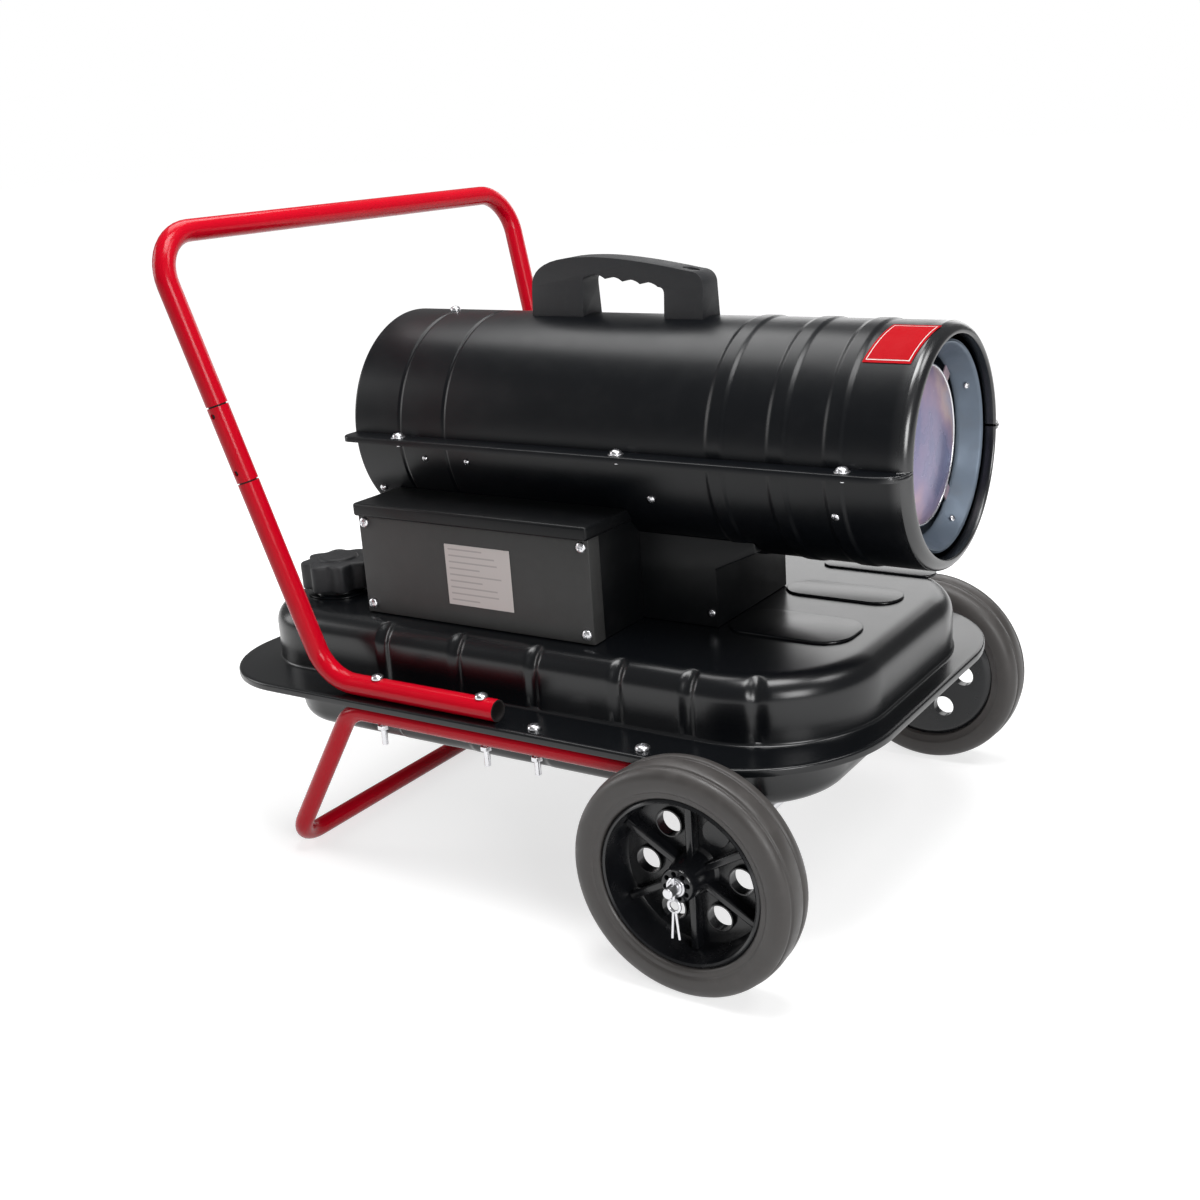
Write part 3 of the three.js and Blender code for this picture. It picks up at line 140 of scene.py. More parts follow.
# ---- Shared effects, as node groups ----
SURFACE = ("Colour", "Roughness", "Height")
HANDLING = ("Colour", "Roughness", "Dust", "Cloud", "Smudge", "Grain Scale", "Dust Colour")


def new_group(name, inputs, outputs):
    """A node group. Sockets with Colour in their name are colours, the others are numbers."""
    tree = bpy.data.node_groups.new(name, "ShaderNodeTree")
    for way, labels in (("INPUT", inputs), ("OUTPUT", outputs)):
        for label in labels:
            kind = "NodeSocketColor" if "Colour" in label else "NodeSocketFloat"
            tree.interface.new_socket(label, in_out=way, socket_type=kind)
    given, out = tree.nodes.new("NodeGroupInput"), tree.nodes.new("NodeGroupOutput")
    return tree, given.outputs, out.inputs


def make_handled_surface():
    """Colour with slow clouds and dust, roughness with smudges, and the height of a fine grain."""
    tree, given, out = new_group("handled_surface", HANDLING, SURFACE)
    point = object_point(tree)
    cloud = noise(tree, point, 7.0, 4.0, 0.55)
    smudge = noise(tree, point, 38.0, 5.0, 0.6)
    shade = times(tree, maths(tree, "SUBTRACT", cloud, 0.5), given["Cloud"], 2.0)
    shade = maths(tree, "ADD", shade, 1.0)
    tint = node(tree, "VectorMath", {0: given["Colour"], "Scale": shade}, operation="SCALE")
    dusty = times(tree, stretch(tree, smudge, 0.48, 0.75), given["Dust"])
    rub = times(tree, stretch(tree, smudge, 0.35, 0.7), given["Smudge"])
    surface = (
        blend(tree, dusty, tint, given["Dust Colour"]),
        maths(tree, "ADD", given["Roughness"], rub, clamp=True),
        noise(tree, point, given["Grain Scale"], 2.0),
    )
    feed(tree, out, dict(zip(SURFACE, surface)))
    return tree


HEAT_COLOURS = (
    (0.36, (0.17, 0.17, 0.31, 1)),
    (0.44, (0.26, 0.21, 0.35, 1)),
    (0.51, (0.38, 0.27, 0.37, 1)),
    (0.58, (0.54, 0.41, 0.42, 1)),
    (0.67, (0.42, 0.43, 0.56, 1)),
)
SPECK_COLOUR = (0.62, 0.62, 0.72, 1)


def make_heat_tint():
    """Steel coloured by heat: violet, rose, straw and blue patches, with pale specks of scale."""
    tree, _, out = new_group("heat_tint", (), SURFACE)
    point = object_point(tree)
    patches = noise(tree, point, 9.0, 4.0, 0.52)
    ramp = tree.nodes.new("ShaderNodeValToRGB")
    feed(tree, ramp.inputs, {"Fac": patches})
    elements = ramp.color_ramp.elements
    for i, (place, colour) in enumerate(HEAT_COLOURS):
        element = elements[i] if i < 2 else elements.new(place)
        element.position, element.color = place, colour
    specks = stretch(tree, noise(tree, point, 150.0, 3.0, 0.7), 0.66, 0.74)
    surface = (
        blend(tree, times(tree, specks, 0.55), ramp.outputs["Color"], SPECK_COLOUR),
        stretch(tree, patches, 0.3, 0.7, 0.24, 0.5),
        maths(tree, "ADD", patches, specks),
    )
    feed(tree, out, dict(zip(SURFACE, surface)))
    return tree


RULED_FROM, RULED_TO = spot(-380, 0, 0).x, spot(-298, 0, 0).x  # the ruled part of the rating plate
ROWS_FROM, ROWS_TO, ROW_STEP, LINE_SHARE = 0.3285, 0.392, 0.0075, 0.24
ROW_SHORTEST, ROW_SPREAD, ROW_STRENGTH = 0.042, 0.036, 0.45
ROW_MIXER = 43.7  # makes uneven lengths of the rows' numbers
FILM_COLOUR, LINE_COLOUR = (0.60, 0.555, 0.54, 1), (0.20, 0.17, 0.18, 1)


def make_ruled_rows():
    """Thin grey ruled rows of different lengths on a pale ground."""
    tree, _, out = new_group("ruled_rows", (), ("Colour",))
    point = object_point(tree)
    x, z = part_of(tree, point, "X"), part_of(tree, point, "Z")
    row = maths(tree, "DIVIDE", maths(tree, "SUBTRACT", z, ROWS_FROM), ROW_STEP)
    mixed = times(tree, maths(tree, "SINE", maths(tree, "FLOOR", row)), ROW_MIXER)
    end = times(tree, maths(tree, "FRACT", mixed), ROW_SPREAD)
    end = maths(tree, "ADD", end, RULED_TO - ROW_SHORTEST)
    inside = times(
        tree,
        maths(tree, "LESS_THAN", maths(tree, "FRACT", row), LINE_SHARE),
        maths(tree, "GREATER_THAN", x, RULED_FROM),
        maths(tree, "LESS_THAN", x, end),
        maths(tree, "LESS_THAN", z, ROWS_TO),
        ROW_STRENGTH,
    )
    feed(tree, out, {"Colour": blend(tree, inside, FILM_COLOUR, LINE_COLOUR)})
    return tree


# ---- Finishes ----
MIRROR = "Specular IOR Level"
WHITE, GREY = (1, 1, 1, 1), (0.5, 0.5, 0.5, 1)
GREY_DUST, TYRE_DUST = (0.3, 0.29, 0.28, 1), (0.13, 0.12, 0.115, 1)
HANDLED, HEAT_TINT, RULED_ROWS = make_handled_surface(), make_heat_tint(), make_ruled_rows()


def shader_of(material):
    material.use_nodes = True
    return next(part for part in material.node_tree.nodes if part.type == "BSDF_PRINCIPLED")


def new_finish(name, effect, **plain):
    """A material coloured by a group. plain holds the values that are the same all over."""
    material = bpy.data.materials.new(name)
    shader, tree = shader_of(material), material.node_tree
    group = tree.nodes.new("ShaderNodeGroup")
    group.node_tree = effect
    feed(tree, shader.inputs, {"Base Color": group.outputs["Colour"], **plain})
    return material, shader, group


def raise_grain(material, shader, group, strength, depth):
    """Feeds the group's roughness and the relief of its height to the shader."""
    tree, given = material.node_tree, group.outputs
    values = {"Strength": strength, "Distance": depth, "Height": given["Height"]}
    relief = node(tree, "Bump", values, "Normal")
    feed(tree, shader.inputs, {"Roughness": given["Roughness"], "Normal": relief})
    return material


def finish(
    name, colour, roughness, relief=0.1, dust=0.05, cloud=0.1, smudge=0.1, grain=900.0,
    mirror=0.5, metallic=0.0, depth=0.0002, dust_colour=GREY_DUST,
):
    """A paint, plastic or metal that has been handled a little."""
    material, shader, group = new_finish(name, HANDLED, **{MIRROR: mirror, "Metallic": metallic})
    values = ((*colour, 1), roughness, dust, cloud, smudge, grain, dust_colour)
    feed(material.node_tree, group.inputs, dict(zip(HANDLING, values)))
    return raise_grain(material, shader, group, relief, depth)


# Name, colour, roughness, relief, dust, cloud, smudge, grain scale, mirror, metallic, depth of the
# relief in metres, colour of the dust.
FINISHES = {
    row[0]: finish(*row)
    for row in (
        ("red_gloss_paint", (0.53, 0.0005, 0.012), 0.18, 0.02, 0.0, 0.08, 0.08, 260.0, 0.2),
        ("black_gloss_paint", (0.0026, 0.0032, 0.0042), 0.26, 0.002, 0.0, 0.08, 0.01, 300.0, 0.45),
        ("black_satin_sheet", (0.003, 0.0034, 0.004), 0.38, 0.05, 0.006, 0.1, 0.05, 700.0, 0.22),
        (
            "tyre_rubber", (0.05, 0.0458, 0.0437), 0.38, 0.2, 0.16, 0.2, 0.16, 520.0, 0.5, 0.0, 0.0002,
            TYRE_DUST,
        ),
        ("black_plastic", (0.010, 0.0105, 0.0115), 0.34, 0.12, 0.03, 0.1, 0.12, 1100.0),
        ("bright_zinc", (0.66, 0.66, 0.68), 0.24, 0.15, 0.08, 0.12, 0.14, 1300.0, 0.5, 1.0),
        ("chamber_steel", (0.12, 0.15, 0.19), 0.42, 0.2, 0.12, 0.35, 0.2, 500.0, 0.5, 0.6),
        ("cast_aluminium", (0.42, 0.43, 0.45), 0.45, 0.4, 0.1, 0.2, 0.15, 420.0, 0.5, 1.0),
        ("pale_film", (0.60, 0.555, 0.53), 0.45, 0.05, 0.08, 0.06),
        ("brass_metal", (0.56, 0.38, 0.13), 0.3, 0.1, 0.05, 0.2, 0.1, 900.0, 0.5, 1.0),
        ("ceramic", (0.72, 0.69, 0.62), 0.3, 0.05, 0.1, 0.08),
        ("circuit_board", (0.02, 0.12, 0.05), 0.35),
        ("copper_tube", (0.55, 0.23, 0.11), 0.3, 0.1, 0.1, 0.25, 0.1, 900.0, 0.5, 1.0),
        ("black_rubber", (0.016, 0.016, 0.016), 0.62, 0.2, 0.1),
        ("steel_gauze", (0.4, 0.41, 0.42), 0.4, 0.6, 0.05, 0.1, 0.1, 1600.0, 0.5, 1.0),
        ("red_film", (0.38, 0.0006, 0.005), 0.6, 0.02, 0.0, 0.03, 0.1, 900.0, 0.08),
        # The near-black inside of the tubes is painted shade: it darkens the bores and the joint liners
        # as shade would.
        ("tube_inside", (0.006, 0.004, 0.004), 0.7),
        ("panel_paint", (0.034, 0.034, 0.0335), 0.5, 0.16, 0.03, 0.1, 0.08, 1100.0, 0.4),
        ("hub_plastic", (0.0065, 0.007, 0.0085), 0.2, 0.03, 0.02, 0.1, 0.1, 700.0),
        ("barrel_paint", (0.0017, 0.0023, 0.0035), 0.32, 0.03, 0.003, 0.06, 0.03, 600.0),
        (
            "handle_plastic", (0.012, 0.0126, 0.0145), 0.5, 0.5, 0.03, 0.12, 0.1, 1500.0, 0.4, 0.0,
            0.00025,
        ),
    )
}
FINISHES["ruled_film"] = new_finish("ruled_film", RULED_ROWS, Roughness=0.42)[0]
FINISHES["heat_tinted_steel"] = raise_grain(
    *new_finish("heat_tinted_steel", HEAT_TINT, Metallic=0.35), 0.12, 0.0004
)
RED, GLOSS, SATIN = "red_gloss_paint", "black_gloss_paint", "black_satin_sheet"
ZINC, PLASTIC, CAST, CHAMBER = "bright_zinc", "black_plastic", "cast_aluminium", "chamber_steel"
LIP = spot(134, 0, 0).x, spot(151, 0, 0).x  # the rolled lip at the barrel's mouth, its shiniest part


def polish_lip(material, share, plain, bright):
    """Over the lip the roughness falls to a share of itself and the mirror part rises to bright."""
    tree, sockets = material.node_tree, shader_of(material).inputs
    x = part_of(tree, object_point(tree), "X")
    rough = sockets["Roughness"].links[0].from_socket
    smoother = times(tree, rough, stretch(tree, x, *LIP, 1.0, share))
    feed(tree, sockets, {"Roughness": smoother, MIRROR: stretch(tree, x, *LIP, plain, bright)})


polish_lip(FINISHES["barrel_paint"], 0.75, 0.3, 0.9)

for entry in frame["record"]["subparts"]:
    materials = frame["nodes"][entry["node"]].data.materials
    materials.clear()
    materials.append(FINISHES[entry["material_slot"]])


# ---- Shaping ----
WELD = 0.002 * MM


def mesh_of(bm, name="passing"):
    """Turns a shape into a mesh and frees it."""
    mesh = bpy.data.meshes.new(name)
    bm.to_mesh(mesh)
    bm.free()
    return mesh


def placed(name, data):
    made = bpy.data.objects.new(name, data)
    scene.collection.objects.link(made)
    return made


def taken(*holders):
    """The shape that the first object has after its modifiers. All the objects are removed."""
    view = bpy.context.evaluated_depsgraph_get()
    mesh = bpy.data.meshes.new_from_object(holders[0].evaluated_get(view))
    bm = bmesh.new()
    bm.from_mesh(mesh)
    bpy.data.meshes.remove(mesh)
    for holder in holders:
        data, curved = holder.data, holder.type == "CURVE"
        bpy.data.objects.remove(holder)
        (bpy.data.curves if curved else bpy.data.meshes).remove(data)
    return bm


def absorb(bm, *others):
    """Adds other shapes to a shape and frees them."""
    for other in others:
        mesh = mesh_of(other)
        bm.from_mesh(mesh)
        bpy.data.meshes.remove(mesh)
    return bm


def worked(bm, kind, *tools, **settings):
    """Runs a modifier over a shape, or one for each tool that it is run with."""
    holder = placed("passing", mesh_of(bm))
    for tool in tools or (None,):
        modifier = holder.modifiers.new(kind.lower(), kind)
        if tool:
            modifier.object = tool
        for key, value in settings.items():
            setattr(modifier, key, value)
    return taken(holder, *tools)


def carve(bm, *cutters, operation="DIFFERENCE"):
    """Cuts closed shapes out of a closed shape, or joins them to it."""
    tools = [placed("cutter", mesh_of(cutter)) for cutter in cutters]
    return worked(bm, "BOOLEAN", *tools, operation=operation, solver="EXACT")


def thickened(bm, wall, even=True):
    """Gives a sheet its wall, inwards. Even keeps the wall full at folds, for sheets without creases."""
    return worked(bm, "SOLIDIFY", thickness=wall * MM, offset=-1.0, use_even_offset=even)


def rounded(bm, width, segments=2, angle=35):
    """Rounds the sharp edges that a cut has left."""
    settings = {"width": width * MM, "segments": segments, "angle_limit": radians(angle)}
    return worked(bm, "BEVEL", limit_method="ANGLE", **settings)


def soften(bm, offset, segments=3, angle=30.0):
    """Rounds every edge that is sharper than the angle."""
    face_out(bm)
    sharp = [e for e in bm.edges if len(e.link_faces) == 2 and e.calc_face_angle(0) > radians(angle)]
    bmesh.ops.bevel(
        bm, geom=sharp, offset=offset * MM, offset_type="OFFSET", segments=segments, profile=0.5,
        affect="EDGES", clamp_overlap=True, material=-1, loop_slide=True,
    )
    return bm


def weld(bm, distance=1e-6):
    bmesh.ops.remove_doubles(bm, verts=bm.verts, dist=distance)


def face_out(bm):
    bmesh.ops.recalc_face_normals(bm, faces=bm.faces)
    return bm


def transform(bm, matrix):
    bmesh.ops.transform(bm, matrix=matrix, verts=bm.verts)
    return bm


def piece(name, bm, slot, *stands_for, body="base", sharp=32.0, paint=None):
    """Makes the finished piece, smooth but for its sharp edges, and hangs it on its body."""
    weld(bm, WELD)
    for face in bm.faces:
        face.smooth = True
    for edge in bm.edges:
        edge.smooth = len(edge.link_faces) == 2 and edge.calc_face_angle(0) < radians(sharp)
    mesh = mesh_of(bm, name)
    mesh.materials.append(FINISHES[paint or slot])
    made = placed(name, mesh)
    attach(made, body)
    if stands_for:
        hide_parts(*stands_for)
    return made


def smooth_step(value, low, high):
    share = max(0.0, min(1.0, (value - low) / (high - low)))
    return share * share * (3 - 2 * share)


def bump(value, centre, reach):
    """One at the centre, easing to nothing at the reach on either side."""
    share = (value - centre) / reach
    return (1 - share * share) ** 2 if abs(share) < 1 else 0.0


def ring(count, first=0.0):
    """Angles spread evenly over a turn, with their cosines and sines."""
    angles = [first + 2 * pi * i / count for i in range(count)]
    return [(angle, cos(angle), sin(angle)) for angle in angles]


def circle(x, y, radius, count):
    return [(x + radius * c, y + radius * s) for _, c, s in ring(count)]


def rounding(steps, first=0):
    """A quarter round as shares of its radius that are left ahead and already gone aside."""
    angles = [pi / 2 * i / steps for i in range(first, steps + 1)]
    return [(1 - sin(angle), 1 - cos(angle)) for angle in angles]


def between(side, low, high):
    """Two places along Y, sorted, on the given side."""
    return sorted((side * low, side * high))


def stations(start, end, step, marks, fine=1.0):
    """Places from start to end, closer together round the marks, pairs of place and reach."""
    places = [start]
    while places[-1] < end - 1e-6:
        here = places[-1]
        inside = any(mark - reach <= here < mark + reach for mark, reach in marks)
        onward = here + (fine if inside else step)
        entries = [mark - reach for mark, reach in marks if here < mark - reach < onward]
        places.append(min([onward, end] + entries))
    return places


def sheet_of(columns, rows, place, centre):
    """A grid bent to shape: place(i, j) is the point of column i and row j. Faces away from centre."""
    bm = bmesh.new()
    bmesh.ops.create_grid(bm, x_segments=columns, y_segments=rows, size=1)
    for vert in bm.verts:
        vert.co = place(round((vert.co.x + 1) / 2 * columns), round((vert.co.y + 1) / 2 * rows))
    weld(bm)
    bm.normal_update()
    if sum(face.normal.dot(face.calc_center_median() - centre) for face in bm.faces) < 0:
        bmesh.ops.reverse_faces(bm, faces=bm.faces)
    return bm


def pull_out(bm, faces, way):
    """Pulls flat faces out into a block."""
    grown = bmesh.ops.extrude_face_region(bm, geom=faces)["geom"]
    moved = [part for part in grown if isinstance(part, bmesh.types.BMVert)]
    bmesh.ops.translate(bm, vec=Vector(way), verts=moved)


def slab(outline, low, high):
    """A flat shape drawn in X and Z, between two places along Y."""
    bm = bmesh.new()
    face = bm.faces.new([bm.verts.new(spot(x, low, z)) for x, z in outline])
    pull_out(bm, [face], (0, (high - low) * MM, 0))
    return face_out(bm)


def arc_to(start, control, end, steps=8):
    """Points of a soft corner from start to end, without the start."""
    points = []
    for step in range(1, steps + 1):
        t = step / steps
        a, b, c = (1 - t) ** 2, 2 * t * (1 - t), t * t
        points.append([a * start[i] + b * control[i] + c * end[i] for i in (0, 1)])
    return points


def box(x, y, z, soft=0.0, segments=2):
    """A block between three pairs of limits."""
    bm = bmesh.new()
    low, high = (spot(*(limits[i] for limits in (x, y, z))) for i in (0, 1))
    place = Matrix.Translation((low + high) / 2) @ Matrix.Diagonal((*(high - low), 1))
    bmesh.ops.create_cube(bm, size=1, matrix=place)
    return soften(bm, soft, segments) if soft else bm


def small_box(x, y, z, soft=0.0):
    """A block round the origin of the frame, from half sizes in X and Y and limits in Z."""
    return box((-AXLE_X - x, -AXLE_X + x), (-y, y), z, soft)


AXES = {"x": Vector((1, 0, 0)), "y": Vector((0, 1, 0)), "z": Vector((0, 0, 1))}
OUTWARDS = {"x": Vector((0, 0, 1)), "y": Vector((0, 0, 1)), "z": Vector((1, 0, 0))}


def turned(profile, axis, centre, steps=64):
    """Spins a profile of (radius, place along the axis). It is closed unless it starts at the axis."""
    bm = bmesh.new()
    along, outwards = AXES[axis], OUTWARDS[axis]
    base = spot(*centre)
    base = base - along * base.dot(along)
    shift = AXLE_X * MM if axis == "x" else 0
    points = [bm.verts.new(base + outwards * r * MM + along * (a * MM + shift)) for r, a in profile]
    pairs = list(zip(points, points[1:]))
    if profile[0][0]:
        pairs.append((points[-1], points[0]))
    edges = [bm.edges.new(pair) for pair in pairs]
    bmesh.ops.spin(
        bm, geom=points + edges, cent=base, axis=along, angle=2 * pi, steps=steps, use_merge=True,
        use_duplicate=False,
    )
    weld(bm)
    return face_out(bm)


def rod(axis, radius, limits, at, sides=32, soft=0.0):
    """A round bar along an axis between two places, at the two other coordinates."""
    low, high = limits
    centre = {"x": (0, *at), "y": (at[0], 0, at[1]), "z": (*at, 0)}[axis]
    bm = turned([(0, low), (radius, low), (radius, high), (0, high)], axis, centre, sides)
    return soften(bm, soft) if soft else bm


def aimed(bm, point, direction, spin=0.0):
    """Moves a shape made along +Z at the origin: it then stands on a point and faces a direction."""
    turn = Vector(UP).rotation_difference(Vector(direction)).to_matrix().to_4x4()
    return transform(bm, Matrix.Translation(point) @ turn @ Matrix.Rotation(spin, 4, "Z"))


def bent_path(corners, bend, steps=12):
    """The middle line of a bent tube: straight runs with a round bend at each inner corner."""
    path = [corners[0]]
    for before, corner, after in zip(corners, corners[1:], corners[2:]):
        back, on = (before - corner).normalized(), (after - corner).normalized()
        half = back.angle(on) / 2
        centre = corner + (back + on).normalized() * bend * MM / sin(half)
        start = corner + back * bend * MM / (sin(half) / cos(half)) - centre
        pivot = on.cross(back)
        for step in range(steps + 1):
            turn = Matrix.Rotation((pi - 2 * half) * step / steps, 3, pivot)
            path.append(centre + turn @ start)
    return path + [corners[-1]]


def tube(path, radius, wall=0.0, sides=28):
    """A round tube along a path, open at its ends, or a closed round bar where it has no wall."""
    curve = bpy.data.curves.new("run", "CURVE")
    curve.dimensions = "3D"
    run = curve.splines.new("POLY")
    run.points.add(len(path) - 1)
    for point, place in zip(run.points, path):
        point.co = (*place, 1)
    curve.bevel_depth = radius * MM
    curve.bevel_resolution = (sides - 4) // 2
    curve.use_fill_caps = not wall
    bm = taken(placed("run", curve))
    weld(bm)
    face_out(bm)
    if not wall:
        return bm
    point, ahead = path[0], (path[1] - path[0]).normalized()
    face = next(iter(bm.faces))
    outwards = face.calc_center_median() - point
    outwards -= ahead * outwards.dot(ahead)
    if len(path) == 2 and face.normal.dot(outwards) < 0:
        bmesh.ops.reverse_faces(bm, faces=bm.faces)
    return thickened(bm, wall, even=False)


# ---- Screws and bolts ----
HEAD_TURN = 0.7  # radians from one head to the next, because driven screws never line up


def pan_head(radius, height):
    """A domed screw head with a cross recess, standing on the origin and facing +Z."""
    dome = [(radius * (1 - a), height * (1 - 0.75 * b)) for a, b in rounding(5)]
    head = turned([*dome, (radius, 0), (0, 0)], "z", (-AXLE_X, 0, 0), 20)
    width, length = 0.11 * radius, 0.575 * radius
    for x, y in ((length, width), (width, length)):
        head = carve(head, small_box(x, y, (height * 0.45, height + 1)))
    return head


def screws(name, places, radius, height):
    """Several screw heads as one piece. Each place is a point and the direction that it faces."""
    whole, head = bmesh.new(), pan_head(radius, height)
    for i, (point, direction) in enumerate(places):
        absorb(whole, aimed(head.copy(), point, direction, HEAD_TURN * i))
    head.free()
    piece(name, whole, ZINC)


def rail_bolts(kind, name, xs, y, head_z, head_radius, end_z, *stands_for):
    """Bolts down through a rail: their heads above it, and their nuts and ends under it."""
    heads = [(spot(x, y, head_z), UP) for x in xs]
    screws(f"{kind}_bolt_heads_{name}", heads, head_radius, 5.5)
    ends = bmesh.new()
    for x in xs:
        absorb(ends, rod("z", 3.6, (end_z, 196), (x, y), 16, 0.5))
        absorb(ends, rod("z", 7, (189, 194.4), (x, y), 6, 0.6))
    piece(f"{kind}_bolt_ends_{name}", ends, ZINC, *stands_for)


# ---- Tubes of the stand and the push handle ----
RAIL_Y, RAIL_Z, PUSH_Z = 270, 205.7, 238.8
STAND_RADIUS, STAND_BEND = 11, 42
PUSH_RADIUS, PUSH_BEND = 12.5, 52
WALL, GAP = 2, 0.9  # of the tubes, and half the gap at a sleeve's end
SLEEVE_FROM, SLEEVE_TO = 478, 565
KNEE_X = -512
SLEEVE_HOLE, HOLE_IN = 3.2, 11  # the holes' radius and how far from the sleeve's ends they are
# The liner is near-black: painted shade, seen through the gaps at the sleeve's ends and through the pin
# holes.
LINER_RADIUS, LINER_REACH = 10.2, 32  # the inner tube that joins leg, sleeve and bow
INSIDE_FROM_X = -470  # the leg's inside is dark in front of here
HANDLE_TOP_X, HANDLE_TOP_Y, HANDLE_TOP_Z = -644, 322, 753


def bent_tube(corners, radius, bend):
    return tube(bent_path(corners, bend), radius, WALL)


def make_stand():
    half = [(-360, RAIL_Y, RAIL_Z), (-483, RAIL_Y, RAIL_Z), (-603, RAIL_Y, STAND_RADIUS)]
    corners = [spot(x, -y, z) for x, y, z in half] + [spot(*corner) for corner in reversed(half)]
    piece("foot_tube", bent_tube(corners, STAND_RADIUS, STAND_BEND), RED, "foot_frame")
    for name, side in RIGHT_AND_LEFT:
        y = side * RAIL_Y
        corners = [spot(-359.7, y, RAIL_Z), spot(0, y, RAIL_Z), spot(0, y, 109)]
        bm = bent_tube(corners, STAND_RADIUS, STAND_BEND)
        absorb(bm, rod("x", 8.7, (-389, -350), (y, RAIL_Z), 28, 0.8))
        piece(f"rail_tube_{name}", bm, RED, f"side_rail_{name}")
        rail_bolts("tank", name, (-217, -80), y, 226.3, 8, 172)


def leg_point(side, z):
    knee = spot(KNEE_X, side * RAIL_Y, PUSH_Z)
    top = spot(HANDLE_TOP_X, side * HANDLE_TOP_Y, HANDLE_TOP_Z)
    return knee.lerp(top, (z - PUSH_Z) / (HANDLE_TOP_Z - PUSH_Z))


def make_push_handle():
    for name, side in RIGHT_AND_LEFT:
        y = side * RAIL_Y
        corners = [spot(-265, y, PUSH_Z), spot(KNEE_X, y, PUSH_Z), leg_point(side, SLEEVE_FROM - GAP)]
        leg = bent_tube(corners, PUSH_RADIUS, PUSH_BEND)
        leg = piece(f"handle_leg_tube_{name}", leg, RED, f"handle_leg_{name}")
        # The leg's bore in front of INSIDE_FROM_X takes the near-black finish: painted shade in the
        # tube's open end.
        leg.data.materials.append(FINISHES["tube_inside"])
        for face in leg.data.polygons:
            off = Vector((0, face.center.y, face.center.z)) - Vector((0, y, PUSH_Z)) * MM
            if off.length < (PUSH_RADIUS - 1) * MM and face.center.x > spot(INSIDE_FROM_X, 0, 0).x:
                face.material_index = 1
        ends = [leg_point(side, SLEEVE_FROM + GAP), leg_point(side, SLEEVE_TO - GAP)]
        sleeve, holes = tube(ends, PUSH_RADIUS, WALL), []
        for z in (SLEEVE_FROM + HOLE_IN, SLEEVE_TO - HOLE_IN):
            x = leg_point(side, z).x / MM - AXLE_X
            holes.append(rod("y", SLEEVE_HOLE, (y - 60, y + 60), (x, z), 20))
        sleeve = carve(sleeve, *holes)
        ends = [leg_point(side, z) for z in (SLEEVE_FROM - LINER_REACH, SLEEVE_TO + LINER_REACH)]
        liner = tube(ends, LINER_RADIUS, WALL)
        # The liner's near-black finish is painted shade inside the joint.
        piece(f"handle_joint_liner_{name}", liner, RED, paint="tube_inside")
        piece(f"handle_sleeve_tube_{name}", sleeve, RED, f"handle_sleeve_{name}")
        nodes = [f"handle_bolt_{name}_1", f"handle_bolt_{name}_2"]
        head_z = PUSH_Z + PUSH_RADIUS - 0.2
        rail_bolts("handle", name, (-435, -286), y, head_z, 7.5, 170, *nodes)
    right, left = (leg_point(side, SLEEVE_TO + GAP) for side in SIDES)
    tops = [spot(HANDLE_TOP_X, side * HANDLE_TOP_Y, HANDLE_TOP_Z) for side in SIDES]
    bow = bent_tube([right, *tops, left], PUSH_RADIUS, PUSH_BEND)
    piece("handle_bow_tube", bow, RED, "handle_upper")


# ---- Wheels ----
WHEEL_RADIUS, WHEEL_Y = 125, 323
RIM, RIM_INSIDE = 91, 85
WEB_BACK, WEB_FRONT = -23, -16  # the web stands near the wheel's inner side
HOLE_CIRCLE, POCKET_CIRCLE = 54, 12.9
RIB_MIDDLE, RIB_SIZE = 0.0525, (0.066, 0.014, 0.0085, 1)

# (radius, place across the wheel, outwards from its middle)
TYRE_PROFILE = (
    (RIM, -18), (RIM, 18), (91.4, 21), (93, 23.2), (95.5, 24.2), (98.6, 24.2), (99.6, 25.4),
    (101.5, 26.4), (106, 27), (112, 26.8), (116.5, 25.6), (120, 23.4), (122.4, 20.4), (123.1, 18),
    (121.4, 17), (121.4, 14.6), (123.6, 13.4), (124.8, 9), (125, 3), (124.6, -3), (123.8, -5.4),
    (121.8, -6.4), (121.8, -9), (123.6, -10.2), (124, -14), (122.8, -19), (119.5, -23.6),
    (115, -26.2), (108, -27), (101.5, -26.4), (98.6, -24.2), (93, -23.2),
)
HUB_PROFILE = (
    (8.3, -24), (23, -24), (24, WEB_BACK), (RIM_INSIDE - 2, WEB_BACK), (RIM_INSIDE + 1, WEB_BACK + 1),
    (RIM - 2.3, -20), (RIM - 0.3, -19), (RIM - 0.3, 20), (RIM_INSIDE + 3, 22), (RIM_INSIDE + 1, 20.6),
    (RIM_INSIDE, WEB_FRONT + 5), (RIM_INSIDE - 4, WEB_FRONT), (26, WEB_FRONT), (22.6, WEB_FRONT + 3),
    (19.6, 10), (18.4, 22.4), (17, 24), (8.3, 24),
)


